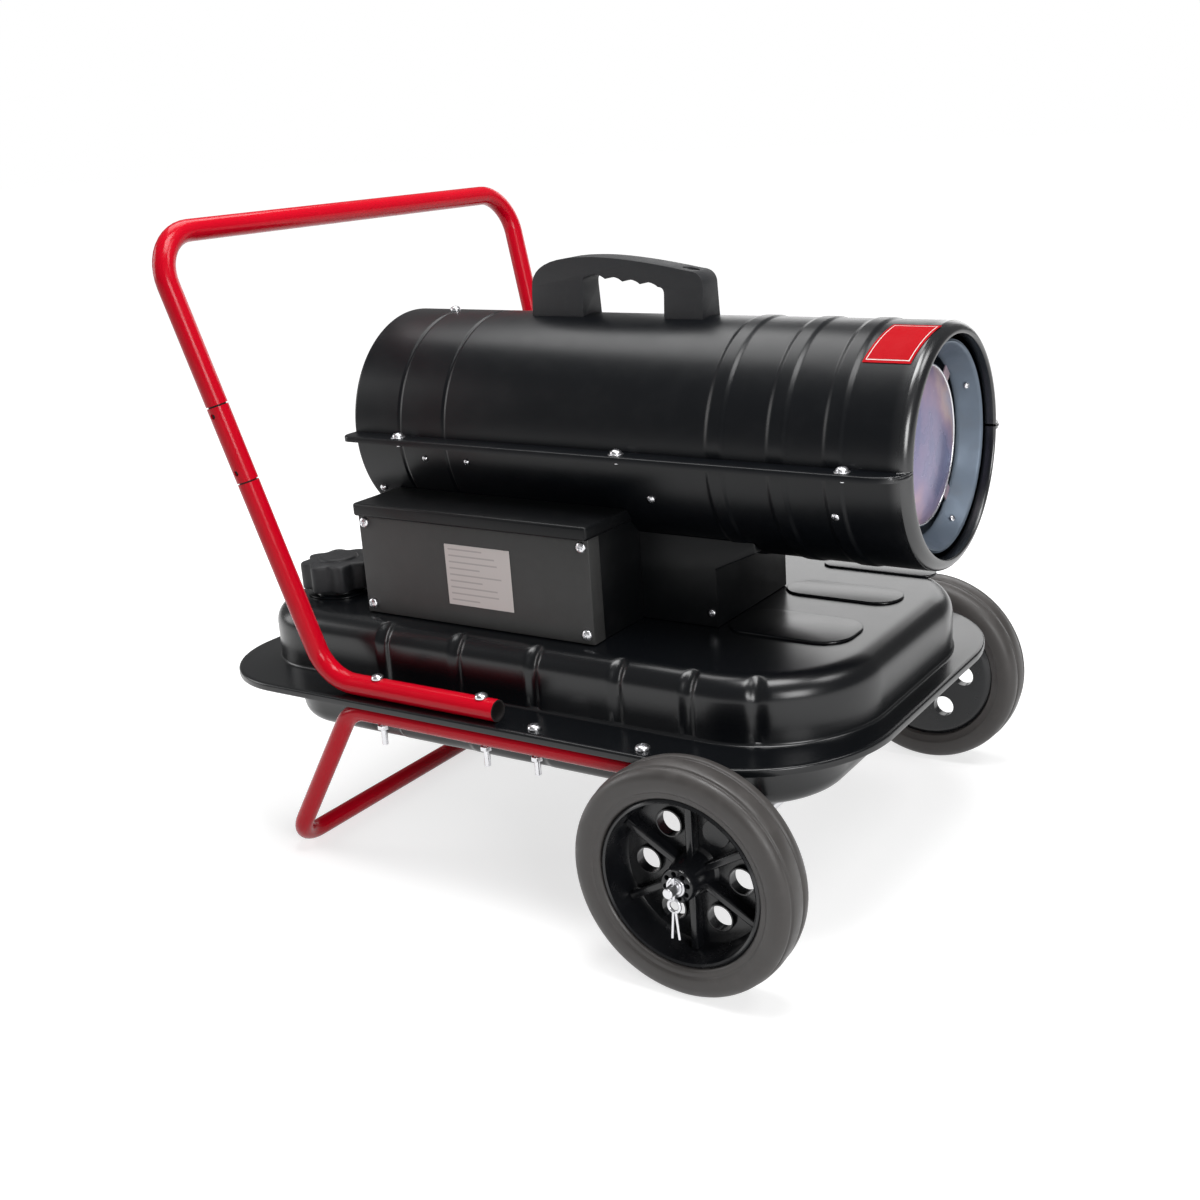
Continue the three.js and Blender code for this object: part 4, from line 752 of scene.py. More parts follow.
def make_wheel(name, side):
    centre = (0, 0, WHEEL_RADIUS)

    def wheel_part(profile, steps):
        return turned([(radius, side * (WHEEL_Y + y)) for radius, y in profile], "y", centre, steps)

    def peg(radius, low, high, reach, c, s, *shape):
        limits = between(side, WHEEL_Y + low, WHEEL_Y + high)
        return rod("y", radius, limits, (reach * c, WHEEL_RADIUS + reach * s), *shape)

    tyre = soften(wheel_part(TYRE_PROFILE, 112), 0.7, 2, 28)
    piece(f"tyre_tread_{name}", tyre, "tyre_rubber", f"tyre_{name}", body=f"wheel_{name}")
    ribs, holes = [], []
    for angle, c, s in ring(6, pi / 6):
        place = Matrix.Translation(spot(*centre) + Vector((c, 0, s)) * RIB_MIDDLE)
        place.translation.y = side * (WHEEL_Y + WEB_FRONT + 6) * MM
        matrix = place @ Matrix.Rotation(-angle, 4, "Y") @ Matrix.Diagonal(RIB_SIZE)
        rib = bmesh.new()
        bmesh.ops.create_cube(rib, size=1, matrix=matrix)
        ribs.append(soften(rib, 2.2, 3))
    for _, *way in ring(6):
        ribs.append(peg(15.3, WEB_FRONT - 2, WEB_FRONT + 5, HOLE_CIRCLE, *way, 40, 0.5))
        holes.append(peg(13.5, -30, 30, HOLE_CIRCLE, *way, 40))
    for _, *way in ring(8, 0.2):
        holes.append(peg(2.9, 13, 30, POCKET_CIRCLE, *way, 20))
    body = carve(wheel_part(HUB_PROFILE, 96), *ribs, operation="UNION")
    body = rounded(carve(body, *holes), 0.7)
    piece(
        f"hub_moulding_{name}", body, PLASTIC, f"hub_{name}", body=f"wheel_{name}", sharp=38,
        paint="hub_plastic",
    )


# ---- Barrel ----
AXIS_Z, BARREL_RADIUS = 501, 131
REAR_X, MOUTH_X = -557, 158
SHEET = 1.2
SEAM = 26
BANDS = (-60, 12, 76)  # raised bands, by their middles
BAND_HALF, BAND_EDGE, BAND_RISE = 9.5, 3.4, 1.6
GROOVES = (-486, -420)
GROOVE_REACH, GROOVE_DEPTH = 3.0, 1.1
ARC = 64  # columns over each half of the barrel


def on_axis(profile, steps=96):
    """A shape turned about the barrel's axis."""
    return turned(profile, "x", (0, 0, AXIS_Z), steps)


def off_axis(x, radius, c, s):
    """A point round the barrel's axis, from the cosine and sine of its angle up from the left."""
    return spot(x, radius * c, AXIS_Z + radius * s)


def on_barrel(x, degrees, side, lift=0.0):
    """A point on the barrel and the way out there. Degrees are up from the seam."""
    angle = radians(degrees)
    out = (0, side * cos(angle), sin(angle))
    return off_axis(x, BARREL_RADIUS + lift, *out[1:]), out


def barrel_relief(x):
    raised = sum(
        smooth_step(x, c - BAND_HALF - BAND_EDGE, c - BAND_HALF + BAND_EDGE)
        - smooth_step(x, c + BAND_HALF - BAND_EDGE, c + BAND_HALF + BAND_EDGE)
        for c in BANDS
    )
    return BAND_RISE * raised - GROOVE_DEPTH * sum(bump(x, c, GROOVE_REACH) for c in GROOVES)


def seam_width(x, full):
    """The seam flange has a round corner behind and sweeps in towards the mouth."""
    rear, sweep = 12, 46
    if x < REAR_X + rear:
        return full - rear + sqrt(max(0.0, rear**2 - (REAR_X + rear - x) ** 2))
    ahead = max(0.0, x - (MOUTH_X - sweep)) / sweep
    return full * sqrt(max(0.0, 1 - min(1.0, ahead) ** 2))


def make_shell(name, way, seam, rows):
    """Half of the barrel. Way is 1 above and -1 below. A row is a place and how far in the wall is."""
    flange_z = SHEET + 0.15
    fold = 6.5 if way > 0 else 1.6
    rim = [(0, fold), (0, 1.5), (0.5, 0.45), (1.6, 0)]  # the flange's rolled edge: how far in and down
    start = flange_z / BARREL_RADIUS
    angles = [start + (pi - 2 * start) * i / ARC for i in range(ARC + 1)]
    outer = len(rim) + 2

    def place(i, j):
        x, drop = rows[j]
        wall = BARREL_RADIUS - drop
        if i < outer or i > outer + ARC:
            side, step = (1, i) if i < outer else (-1, 2 * outer + ARC - i)
            width = seam_width(x, seam)
            if step < len(rim):
                inwards, down = rim[step]
                share = min(1.0, width / 4)
                y, z = wall + width - inwards * share, way * flange_z - down * share
                return spot(x, side * y, AXIS_Z + z)
            share = (outer - step) / 3
            return spot(x, side * (wall + width * share), AXIS_Z + way * flange_z)
        angle = angles[i - outer]
        fade = min(1.0, min(angle, pi - angle) / radians(7))
        radius = wall + barrel_relief(x) * fade
        return spot(x, radius * cos(angle), AXIS_Z + way * max(flange_z, radius * sin(angle)))

    bm = sheet_of(ARC + 2 * outer, len(rows) - 1, place, spot(-200, 0, AXIS_Z))
    weld(bm, 0.1 * MM)
    bmesh.ops.dissolve_degenerate(bm, edges=bm.edges, dist=0.02 * MM)
    bm = thickened(bm, SHEET, even=False)
    mouth = spot(MOUTH_X, 0, 0).x
    for vert in bm.verts:
        vert.co.x = min(vert.co.x, mouth)
    piece(f"{name}_pressing", bm, GLOSS, name, sharp=48, paint="barrel_paint")


def make_barrel():
    marks = [(c + way * BAND_HALF, 4.5) for c in BANDS for way in (-1, 1)] + [(c, 4) for c in GROOVES]
    marks += [(REAR_X + 8, 6), (MOUTH_X - 24, 15)]
    rows = [(REAR_X, 2.4), (REAR_X + 0.8, 1.0), (REAR_X + 2, 0.2)]
    rows += [(x, 0) for x in stations(REAR_X + 3.2, MOUTH_X - 10, 14, marks)]
    roll = 12
    rows += [(MOUTH_X - roll * a, roll * b) for a, b in rounding(9, 1)]
    rows += [(MOUTH_X - 0.6, roll + 1), (MOUTH_X - 2.4, roll + 1.5), (MOUTH_X - 12, roll + 1.6)]
    make_shell("upper_shell", 1, SEAM, rows)
    make_shell("lower_shell", -1, SEAM - 2.5, rows)
    tops, nuts, discs = [], bmesh.new(), bmesh.new()
    for at_seam in [(x, side * (BARREL_RADIUS + SEAM / 2)) for side in SIDES for x in (-478, -173, 93)]:
        tops.append((spot(*at_seam, AXIS_Z + 2.3), UP))
        absorb(discs, rod("z", 8.6, (AXIS_Z + 1.4, AXIS_Z + 2.4), at_seam, 28, 0.3))
        absorb(nuts, rod("z", 5.6, (AXIS_Z - 5.2, AXIS_Z - 1.4), at_seam, 6, 0.5))
        absorb(nuts, rod("z", 2.4, (AXIS_Z - 9, AXIS_Z - 5), at_seam, 16, 0.4))
    tops.append((on_barrel(-491, 90, 1)[0], UP))
    screws("seam_screw_heads", tops, 6.6, 5.2)
    piece("seam_washers", discs, ZINC)
    piece("seam_nuts", nuts, ZINC)
    wall = [on_barrel(*at, side) for at in ((-146, -23), (74, -23), (-540, -33)) for side in SIDES]
    screws("shell_screw_heads", wall, 4.6, 3)
    small = [on_barrel(x, -11, side) for x in (-453, -391) for side in SIDES]
    screws("small_shell_screw_heads", small, 3.6, 2.6)


def label_film(x0, x1, low, high, lift, slant=9):
    """A slanted film on the right of the barrel, between two angles up from the seam."""
    def place(i, j):
        degrees = low + (high - low) * j / 12
        x = x0 + (x1 - x0) * i / 8 + slant * (degrees - 65) / 31
        return on_barrel(x, degrees, -1, lift)[0]
    return thickened(sheet_of(8, 12, place, spot(120, 0, AXIS_Z)), 0.3)


def make_top_label():
    """A red film with a pale line near its edge."""
    edge, line = label_film(94, 146, 50, 80, 0.75), label_film(96.6, 143.4, 51.4, 78.6, 0.85)
    face = label_film(97.6, 142.4, 51.9, 78.1, 0.95)
    piece("label_edge", edge, RED, sharp=50, paint="red_film")
    piece("label_line", line, "pale_film", sharp=50)
    piece("label_face", face, RED, "top_label", sharp=50, paint="red_film")


def make_carry_handle():
    rear, front, base, top, flare_z = -360, -129, 618, 698, 664
    front_top, rear_under, front_under = 682, 676, 665
    outline = [(rear, base), (front, base), (front, front_top - 16)]
    outline += arc_to(outline[-1], (front, front_top), (front - 18, front_top + 1))
    outline += arc_to(outline[-1], (-235, top + 1), (rear + 78, top), 10)
    outline += arc_to(outline[-1], (rear, top), (rear, top - 36), 10)
    left, right, chamfer = rear + 72, front - 50, 8
    grip = [(left, 600), (left, rear_under - chamfer)]
    grip += arc_to(grip[-1], (left, rear_under), (left + chamfer, rear_under), 5)
    from_x, to_x, scallops, deep = left + chamfer, right - chamfer, 4, 3.6
    for i in range(1, scallops * 8 + 1):
        share = i / (scallops * 8)
        z = rear_under + (front_under - rear_under) * share
        z += deep * abs(sin(pi * scallops * share)) ** 0.8
        grip.append((from_x + (to_x - from_x) * share, z))
    grip += arc_to(grip[-1], (right, front_under), (right, front_under - chamfer), 5)
    grip.append((right, 600))
    body = carve(slab(outline, -17, 17), slab(grip, -30, 30))
    pocket = rod("z", 7, (front_top - 12, top + 20), (0, 0), 32)
    to_axle = Matrix.Translation(-spot(0, 0, 0))
    bmesh.ops.scale(pocket, vec=(1.5, 1, 1), space=to_axle, verts=pocket.verts)
    bmesh.ops.translate(pocket, vec=Vector((-0.152, 0, 0)), verts=pocket.verts)
    body = carve(body, pocket)
    whole = body.verts[:] + body.edges[:] + body.faces[:]
    bmesh.ops.bisect_plane(body, geom=whole, plane_co=spot(0, 0, flare_z), plane_no=UP, dist=1e-6)
    for vert in body.verts:
        vert.co.y *= 1 + 0.2 * max(0.0, flare_z * MM - vert.co.z) / (40 * MM)
    body = carve(body, rod("x", BARREL_RADIUS - 0.2, (-420, -60), (0, AXIS_Z), 96))
    body = rounded(body, 2.2, 3, 40)
    piece("carry_handle_moulding", body, PLASTIC, "carry_handle", sharp=40, paint="handle_plastic")


# ---- Burner ----
STUDS_RADIUS, TABS_RADIUS, CONE_RADIUS = 111.5, 89.6, 103.2


def make_burner():
    chamber = on_axis([
        (40, -270), (109, -270), (112, -267), (112, 145.4), (111.4, 146), (110.8, 145.4), (110.8, -266),
        (108, -268.8), (40, -268.8),
    ])
    dome = on_axis([
        (0, 131.6), (28, 130.9), (50, 129.0), (66, 126.8), (77, 124.4), (83.4, 122.4), (84.6, 121.2),
        (83.4, 120.6), (76, 122.6), (50, 127), (0, 129.6),
    ])
    for _, c, s in ring(4, pi / 4):
        stud = rod("z", 5, (0, 17.5), (-AXLE_X, 0), 20, 0.5)
        absorb(chamber, aimed(stud, off_axis(-40, STUDS_RADIUS, c, s), (0, c, s)))
        turn = Matrix((Vector((0, -s, c)), Vector((1, 0, 0)), Vector((0, c, s)))).transposed()
        place = Matrix.Translation(off_axis(121, TABS_RADIUS, c, s)) @ turn.to_4x4()
        absorb(dome, transform(small_box(8, 1, (-8, 8), 0.6), place))
    piece("chamber_drum", chamber, CHAMBER, "combustion_chamber")
    cone = on_axis([
        (110.5, 141), (110.5, 145.6), (109.6, 146.4), (108.2, 146), (107, 143.4), (99.4, 124.6),
        (97.8, 121.8), (97.6, 119.8), (98.8, 119.8), (100.6, 122.4),
    ])
    piece("outlet_cone", cone, CHAMBER, "outlet_ring", sharp=50)
    piece("deflector_dome", dome, "heat_tinted_steel", "deflector_disc")
    piece("deflector_rim", on_axis(circle(85, 121.6, 1.5, 12)), ZINC)
    heads = [
        (off_axis(134.4, CONE_RADIUS, -c, s), (1, 0.45 * c, -0.45 * s))
        for _, c, s in ring(4, radians(-28))
    ]
    screws("cone_screw_heads", heads, 4, 2.6)


def make_guard():
    whole = bmesh.new()
    low, high, soft = -553, -550, 0.8
    for inner, outer in ((0, 16), (36, 42), (62, 68), (88, 94), (114, 129.4)):
        profile = [(outer - soft, low), (outer, low + soft), (outer, high - soft), (outer - soft, high)]
        if inner:
            profile += [(inner + soft, high), (inner, high - soft)]
            profile += [(inner, low + soft), (inner + soft, low)]
            absorb(whole, on_axis(profile, 88))
        else:
            absorb(whole, on_axis([(0, low), *profile, (0, high)], 48))
    for angle, _, _ in ring(6):
        turn = Matrix.Translation(spot(0, 0, AXIS_Z)) @ Matrix.Rotation(angle, 4, "X")
        absorb(whole, transform(box((-553.4, -549.8), (10, 120), (-3, 3), 0.7), turn))
    piece("guard_grille", whole, SATIN, "rear_guard")


def make_blower():
    motor = on_axis([
        (6, -470), (40, -470), (46, -468), (48, -464), (48, -440), (47, -439), (47, -397), (48, -396),
        (48, -372), (46, -368), (40, -366), (6, -366),
    ], 64)
    piece("motor_can", motor, CAST, "motor_body")
    pump = on_axis([
        (6, -470.3), (41, -470.3), (42, -471.3), (42, -509.3), (41, -510.3), (32, -510.3), (32, -476.3),
        (6, -476.3),
    ], 64)
    piece("pump_casing", pump, CAST, "air_pump_body")
    cover = on_axis([
        (0, -510.6), (41, -510.6), (42, -511.6), (42, -520), (39, -522.6), (12, -522.6), (10, -521.6),
        (0, -521.6),
    ], 64)
    piece("filter_lid", cover, PLASTIC, "air_filter_cover")
    heads = [(off_axis(-522.6, 32, cos(a), sin(a)), (-1, 0, 0)) for a in (0.5, 2.6, 4.7)]
    screws("filter_lid_screws", heads, 3.2, 2.2)
    fan = on_axis([(5.3, -362), (22, -362), (24, -360), (24, -332), (22, -330), (5.3, -330)], 48)
    for first, _, _ in ring(5):
        def place(u, v):
            radius = 22 + 92.5 * v / 10
            chord = (u / 6 - 0.5) * (34 + 34 * sin(pi * min(1.0, 0.25 + v / 13)))
            pitch = radians(52 - 26 * v / 10)
            angle = first + chord * cos(pitch) / radius
            return off_axis(-346 - chord * sin(pitch) * 0.62, radius, cos(angle), sin(angle))
        absorb(fan, thickened(sheet_of(6, 10, place, spot(-300, 0, AXIS_Z)), 2))
    piece("fan_blades", fan, CAST, "fan", body="blower")


# ---- Fuel tank ----
TANK_TOP, FLANGE_TOP, FLANGE_UNDER, TANK_BOTTOM = 297, 226, 217, 150
SIDE_FROM, SIDE_TO = -595, -29
RIBS = (-462, -355, -248, -138, -50, 26)
RIB_REACH = 11
FILLER = (-607, -134)


def corner_points(x, y, radius, start, steps):
    """Round corner points with their outward directions."""
    points = []
    for i in range(steps + 1):
        angle = start + pi / 2 * i / steps
        points.append((x + radius * cos(angle), y + radius * sin(angle), cos(angle), sin(angle)))
    return points


def pan_outline(rear, front, half, rear_corner, front_corner):
    """A rounded rectangle as points with outward directions, always of the same count."""
    runs = stations(SIDE_FROM, SIDE_TO, 40, [(x, 14) for x in RIBS], 2.0)
    low, high = rear + rear_corner, front - front_corner
    xs = [low + (high - low) * (x - SIDE_FROM) / (SIDE_TO - SIDE_FROM) for x in runs][1:-1]
    points = corner_points(high, half - front_corner, front_corner, 0, 56)
    points += [(x, half, 0, 1) for x in reversed(xs)]
    points += corner_points(low, half - rear_corner, rear_corner, pi / 2, 20)
    points += [(rear, (rear_corner - half) * i / 3, -1, 0) for i in (-1, 0, 1)]
    points += corner_points(low, rear_corner - half, rear_corner, pi, 20)
    points += [(x, -half, 0, -1) for x in xs]
    points += corner_points(high, front_corner - half, front_corner, 1.5 * pi, 56)
    return points


WALL_LINE = pan_outline(-679, 110, 228, 84, 139)
FLANGE_LINE = pan_outline(-715, 136, 288, 120, 165)
LOWER_LINE = pan_outline(-669, 96, 242, 97, 125)


def pan_of(levels, rib_depth, end_z):
    """A pressed pan, flat at its end. A level is an outline, how far inside it, Z and the ribs' share."""
    def place(i, j):
        outline, inset, z, ribbed = levels[j]
        x, y, nx, ny = outline[i % len(outline)]
        if ribbed and abs(ny) > 0.6:
            inset += ribbed * rib_depth * sum(bump(x, rib, RIB_REACH) for rib in RIBS)
        return spot(x - nx * inset, y - ny * inset, z)

    bm = sheet_of(len(WALL_LINE), len(levels) - 1, place, spot(-290, 0, 222))
    end = end_z * MM
    edges = [e for e in bm.edges if e.is_boundary and all(abs(v.co.z - end) < 1e-6 for v in e.verts)]
    bmesh.ops.contextual_create(bm, geom=edges)
    return thickened(face_out(bm), SHEET)


def make_tank():
    shoulder, fillet, edge = 26, 4, 3
    levels = [(WALL_LINE, shoulder + 5, TANK_TOP, 0)]
    for i, (a, b) in enumerate(rounding(10)):
        ribbed = smooth_step(i, 0, 4) - 0.45 * smooth_step(i, 6, 10)
        levels.append((WALL_LINE, shoulder * a, TANK_TOP - shoulder * b, ribbed))
    wall = ((258, 0.5), (242, 0.45), (FLANGE_TOP + fillet, 0.3))
    levels += [(WALL_LINE, 0, z, ribbed) for z, ribbed in wall]
    levels += [(WALL_LINE, -fillet * b, FLANGE_TOP + fillet * a, 0) for a, b in rounding(4, 1)]
    levels.append((FLANGE_LINE, 5.5, FLANGE_TOP, 0))
    levels += [(FLANGE_LINE, edge * a, FLANGE_TOP - edge * b, 0) for a, b in rounding(4, 1)]
    under = ((0, 1.5), (0.4, 0.4), (1.2, 0))
    levels += [(FLANGE_LINE, inset, FLANGE_UNDER + rise, 0) for inset, rise in under]
    upper = pan_of(levels, 6.0, TANK_TOP)
    upper = carve(upper, rod("z", 33.8, (280, 310), FILLER, 48), rod("z", 3.3, (280, 310), (-315, 0), 20))
    piece("tank_top_pressing", upper, GLOSS, "tank_upper_pan", sharp=40)

    draft, corner, fillet = 18, 22, 4
    seam = FLANGE_TOP - 1.5
    levels = [(FLANGE_LINE, 1.6, z, 0) for z in (seam, seam - SHEET)]
    levels += [(LOWER_LINE, -fillet * a, seam - SHEET - fillet * b, 0) for a, b in rounding(4)]
    wall = ((0.12, 214, 0.3), (0.35, 203, 1), (0.7, 188, 1))
    levels += [(LOWER_LINE, draft * share, z, ribbed) for share, z, ribbed in wall]
    for i, (a, b) in enumerate(rounding(10)):
        ribbed = 1 - smooth_step(i, 4, 9)
        levels.append((LOWER_LINE, draft + corner * b, TANK_BOTTOM + corner * a, ribbed))
    levels.append((LOWER_LINE, draft + corner + 5, TANK_BOTTOM, 0))
    lower = carve(pan_of(levels, 3.0, TANK_BOTTOM), rod("z", 8.3, (140, 160), (20, 0), 32))
    piece("tank_bottom_pressing", lower, GLOSS, "tank_lower_pan", sharp=40)
    make_tank_pad("far", -86, 61, 171, 201)
    make_tank_pad("middle", -86, 60, 54, 112)
    make_tank_pad("near", -87, 63, -92, -6)


def make_tank_pad(name, x0, x1, y0, y1):
    """A low raised field with round corners on the tank's top."""
    pad = bmesh.new()
    corners = [spot(x, y, TANK_TOP - 1) for x, y in ((x0, y0), (x1, y0), (x1, y1), (x0, y1))]
    face = pad.faces.new([pad.verts.new(corner) for corner in corners])
    radius = min(34, (y1 - y0) / 2 - 1)
    bmesh.ops.bevel(
        pad, geom=face.verts[:], offset=radius * MM, segments=8, affect="VERTICES", profile=0.5
    )
    pull_out(pad, pad.faces[:], (0, 0, 3.6 * MM))
    piece(f"tank_top_pad_{name}", soften(pad, 1.7, 4, 60), GLOSS, sharp=60)


def make_filler():
    neck = turned([
        (30, 287), (33.5, 287), (33.5, 297.3), (41, 297.3), (41.5, 297.8), (41.5, 299), (41, 299.3),
        (34.5, 299.6), (33.5, 300.6), (33.5, 322), (32.5, 323), (30, 323),
    ], "z", (*FILLER, 0), 56)
    piece("filler_tube", neck, GLOSS, "filler_neck")
    low, high, lobes, columns = 305.3, 339.3, 8, 192
    rows = [  # radius, share of the lobes, Z
        (0, 0, 327.6), (33, 0, 327.6), (34, 0, 326.6), (34, 0, low + 1), (35, 0.2, low),
        (40.4, 0.9, low), (42, 1, low + 0.5), (42.5, 1, low + 2), (42.5, 1, high - 5),
        (42.2, 1, high - 2.4), (41, 0.95, high - 0.8), (38.6, 0.8, high), (32, 0.25, high + 0.7),
        (26, 0, high + 0.9), (25, 0, high + 0.5), (24.6, 0, high + 0.7), (24, 0, high + 2.6),
        (22.6, 0, high + 3.6), (18, 0, high + 3.9), (9, 0, high + 3.3), (0, 0, high + 3.1),
    ]

    def place(i, j):
        radius, lobed, z = rows[j]
        angle = 2 * pi * i / columns
        radius += 4.4 * lobed * cos(lobes * angle)
        return spot(FILLER[0] + radius * cos(angle), FILLER[1] + radius * sin(angle), z)

    body = sheet_of(columns, len(rows) - 1, place, spot(*FILLER, low + 12))
    piece("cap_moulding", body, PLASTIC, "fuel_cap", body="cap", sharp=60, paint="handle_plastic")


# ---- Base housing and controls ----
BOX_FROM, BOX_TO = -512, -186
HOUSING_HALF = 85
KNOB_X, KNOB_Z = -250, 372


def under_barrel(bm):
    return carve(bm, rod("x", BARREL_RADIUS + 0.4, (-600, 60), (0, AXIS_Z), 96))


def side_screws(name, y, xs, zs, radius, height, sides):
    """Heads on the outside of a wall at one distance from the middle plane."""
    places = [(spot(x, side * y, z), (0, side, 0)) for x in xs for z in zs for side in sides]
    screws(name, places, radius, height)


def make_housing():
    rear, front, floor, top = -520, -90, 297.3, 451
    outline = [(rear, floor), (front, floor), (front, 365), (front + 50, 388), (front + 50, top)]
    body = under_barrel(slab([*outline, (rear, top)], -HOUSING_HALF, HOUSING_HALF))
    piece("housing_fold", rounded(body, 1.6, 2, 50), SATIN, "base_housing", sharp=45)
    side_screws("housing_screw_heads", HOUSING_HALF, (-97, -505), (314,), 4.6, 3, SIDES)


def make_side_box(side, tray, cover, prefix):
    def level(low, high):
        return between(side, low, high)

    body = under_barrel(box((BOX_FROM + 1.5, BOX_TO - 1.5), level(85.3, 187), (297.6, 430), 1.2))
    panel = box((BOX_FROM, BOX_TO), level(168, 190), (298, 424), 1.3, 3)
    hood = under_barrel(box((BOX_FROM - 2, BOX_TO + 2), level(100, 196.4), (417.5, 433.2), 3.4, 4))
    piece(f"{prefix}_tray_box", body, SATIN, tray, sharp=45)
    piece(f"{prefix}_cover_panel", panel, SATIN, cover, sharp=45, paint="panel_paint")
    piece(f"{prefix}_cover_hood", hood, SATIN, sharp=45)
    xs = (BOX_FROM + 9, BOX_TO - 9)
    side_screws(f"{prefix}_cover_screws", 190, xs, (409, 309), 6.4, 4, (side,))


def make_controls():
    make_side_box(-1, "control_tray", "service_cover", "right")
    make_side_box(1, "panel_tray", "control_panel", "left")
    plate = box((-385, -293), (-190.9, -190.05), (323, 395), 0.2, 1)
    piece("plate_film", plate, "pale_film", "rating_plate", paint="ruled_film")
    profile = [(0, 190.3), (17, 190.3), (17, 193), (15.6, 194), (14.6, 204), (13.4, 205.3), (0, 205.3)]
    knob = turned(profile, "y", (KNOB_X, 0, KNOB_Z), 48)
    absorb(knob, box((KNOB_X - 1.2, KNOB_X + 1.2), (204, 206.5), (375, 386), 0.4))
    for flute in circle(KNOB_X, KNOB_Z, 15.3, 16):
        absorb(knob, rod("y", 1.5, (195, 204), flute, 12, 0.4))
    piece("knob_moulding", knob, PLASTIC, "thermostat_knob", body="thermostat")
    opening = box((-327.3, -312.7), (183, 195), (357.6, 386.4))
    surround = carve(box((-331, -309), (184, 192), (355, 389), 1.0), opening)
    piece("switch_surround", surround, PLASTIC, "switch_frame")
    paddle = box((-327, -313), (184, 193), (359, 385), 0.9)
    for vert in paddle.verts:
        if vert.co.y > 188 * MM:
            vert.co.y -= 1.6 * MM * bump(vert.co.z / MM, 372, 13)
    piece("switch_paddle", paddle, RED, "power_switch", body="rocker")
    gland = turned([
        (4.5, -502), (7.7, -502), (7.7, -511), (10, -511), (10.8, -512.2), (10.8, -518), (9.6, -519),
        (9.6, -522), (8.6, -527), (6.6, -529), (4.5, -529),
    ], "x", (0, 140, 330), 40)
    absorb(gland, rod("x", 11.4, (-517.6, -512.2), (140, 330), 6, 0.6))
    piece("gland_nut", gland, PLASTIC, "cable_gland")


# ---- Axle, washers and ring pins ----
PIN_Y, PIN_WIRE, PIN_EYE = 352.9, 1.8, 6.5


def make_axle():
    axis = (0, WHEEL_RADIUS)
    bar = absorb(rod("y", 8, (-351, 351), axis, 40, 1), rod("y", 5.6, (-364.9, 364.9), axis, 32, 1.2))
    piece("axle_bar", bar, ZINC, "axle")
    for name, side in RIGHT_AND_LEFT:
        low, high = between(side, 347.3, 349.8)
        profile = [(8.3, low), (10, low), (10.4, low + 0.4), (10.4, high - 0.4), (10, high), (8.3, high)]
        washer = turned(profile, "y", (0, 0, WHEEL_RADIUS), 48)
        piece(f"washer_disc_{name}", washer, ZINC, f"washer_{name}")
        y, eye_z = side * PIN_Y, WHEEL_RADIUS - 12 - PIN_EYE
        pin = turned(circle(PIN_EYE, y, PIN_WIRE, 14), "y", (0, 0, eye_z), 40)
        absorb(pin, rod("z", PIN_WIRE, (eye_z + PIN_EYE - 1, WHEEL_RADIUS + 12), (0, y), 20, 0.5))
        for way in (-1, 1):
            ends = [(way * 1.4, y, eye_z - PIN_EYE + 0.6), (way * 4.2, y, eye_z - PIN_EYE - 29.6)]
            absorb(pin, tube([spot(*end) for end in ends], 1.5, sides=16))
        piece(f"pin_wire_{name}", pin, ZINC, f"ring_pin_{name}")


# ---- Stage ----
def seen_straight(tree, mirrored):
    """1 for what the camera sees, also through glass. What a shiny surface mirrors is a share of it."""
    rays = tree.nodes.new("ShaderNodeLightPath").outputs
    straight = maths(tree, "ADD", rays["Is Camera Ray"], rays["Is Transmission Ray"])
    mirror = times(tree, rays["Is Glossy Ray"], mirrored)
    return maths(tree, "ADD", straight, mirror, clamp=True)


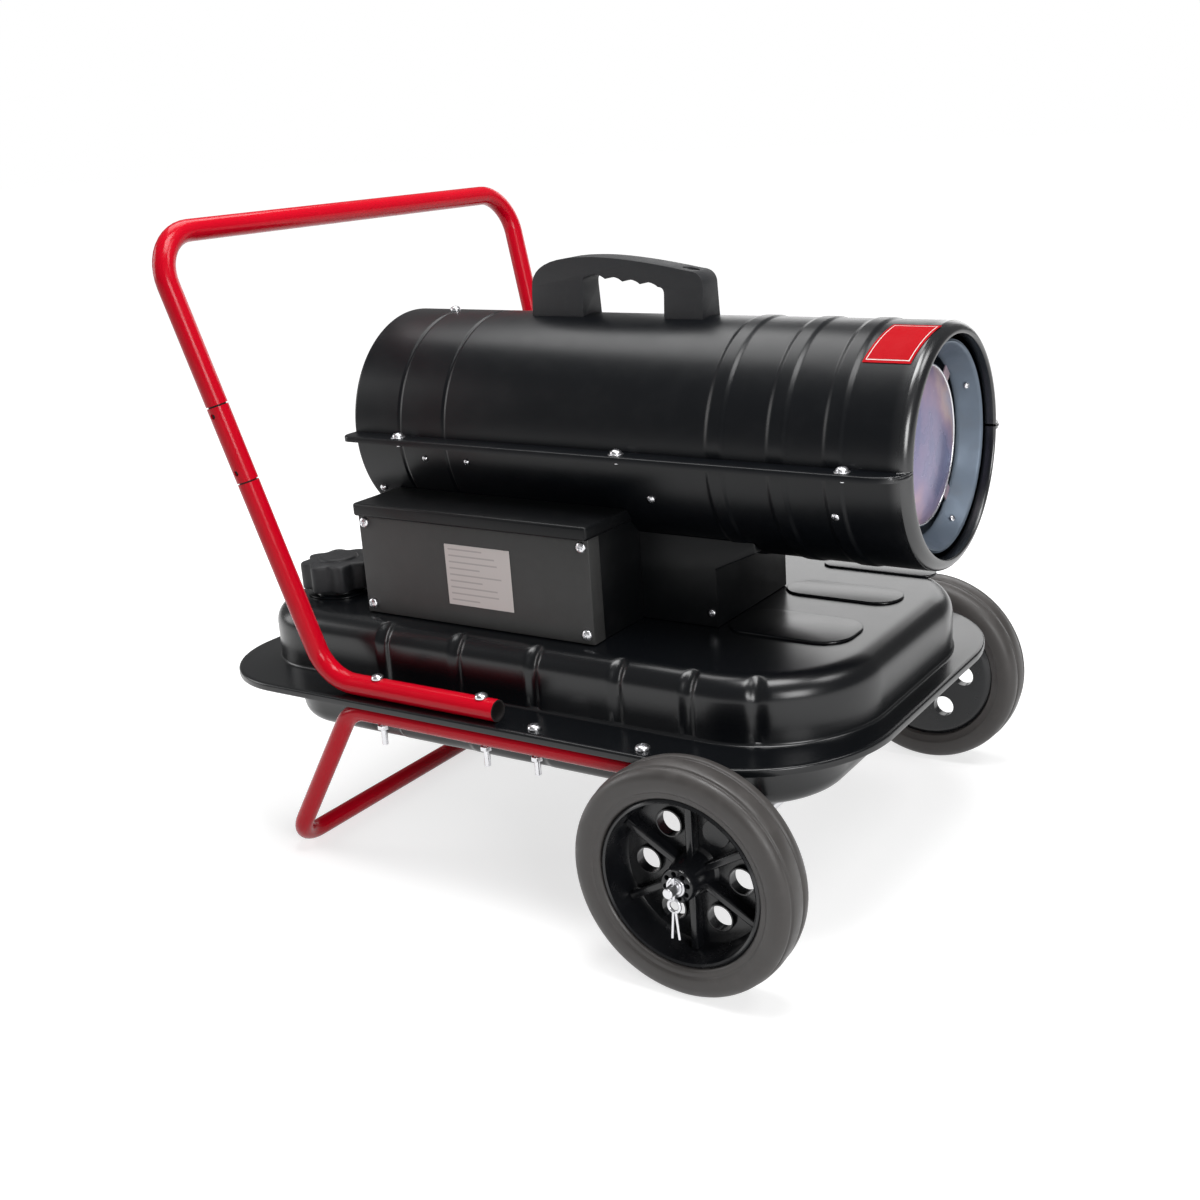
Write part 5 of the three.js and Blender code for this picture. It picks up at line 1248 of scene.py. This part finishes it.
def make_stage():
    """A floor that the camera sees as white far off. Near the heater its glow is lower, so the lamps'
    real shadow shows there, deepened by that painted shade.
    """
    bm = bmesh.new()
    bmesh.ops.create_grid(bm, x_segments=1, y_segments=1, size=30)
    floor = placed("floor", mesh_of(bm, "floor"))
    floor.location.z = -0.0005
    material = bpy.data.materials.new("floor")
    shader, tree = shader_of(material), material.node_tree
    away = node(tree, "VectorMath", {0: object_point(tree)}, "Value", operation="LENGTH")
    # The glow falls from 1 to 0.68 towards the heater: painted shade on the floor round it.
    white = stretch(tree, away, 0.6, 1.3, 0.68, 1.0)
    glow = times(tree, seen_straight(tree, 1.0), white)
    feed(tree, shader.inputs, {"Base Color": GREY, "Roughness": 0.9, MIRROR: 0.0})
    feed(tree, shader.inputs, {"Emission Color": WHITE, "Emission Strength": glow})
    floor.data.materials.append(material)


def make_world(level, mirrored):
    """An even soft light, plain white to the camera. Mirrors show little more than its level."""
    world = bpy.data.worlds.new("studio")
    world.use_nodes = True
    scene.world = world
    tree = world.node_tree
    background = next(part for part in tree.nodes if part.type == "BACKGROUND")
    seen = times(tree, seen_straight(tree, mirrored), 1.0 - level)
    feed(tree, background.inputs, {"Color": WHITE, "Strength": maths(tree, "ADD", seen, level)})


def softbox(name, place, target, size, brightness):
    """A flat lamp. Its brightness is measured against white paper."""
    data = bpy.data.lights.new(name, "AREA")
    data.shape = "RECTANGLE"
    data.size, data.size_y = size
    data.energy = brightness * pi * size[0] * size[1]
    lamp = placed(name, data)
    direction = Vector(target) - Vector(place)
    turn = direction.to_track_quat("-Z", "Y").to_matrix().to_4x4()
    lamp.matrix_world = Matrix.Translation(place) @ turn
    lamp.visible_camera = False


scene.view_settings.view_transform = "Standard"
make_stage()
make_world(0.12, 0.12)
softbox("softbox_above", (0.5, -0.35, 2.5), (0.1, 0.0, 0.4), (1.1, 0.9), 12)
softbox("softbox_high_behind", (-0.75, 0.5, 2.3), (0.1, 0.0, 0.5), (1.3, 1.1), 4.5)
softbox("softbox_high_right", (1.6, 0.3, 2.2), (0.4, 0.0, 0.5), (0.7, 0.7), 8)
softbox("softbox_right", (2.4, -1.7, 1.3), (0.1, 0.0, 0.4), (1.1, 1.1), 11)
softbox("softbox_left", (-2.6, -1.0, 1.3), (0.0, 0.0, 0.4), (1.2, 1.4), 4)
softbox("softbox_behind", (-0.3, 2.2, 1.05), (0.2, 0.0, 0.3), (1.7, 0.9), 2.2)

make_stand()
make_push_handle()
for wheel_name, wheel_side in RIGHT_AND_LEFT:
    make_wheel(wheel_name, wheel_side)
make_axle()
make_barrel()
make_top_label()
make_carry_handle()
make_burner()
make_guard()
make_blower()
make_tank()
make_filler()
make_housing()
make_controls()
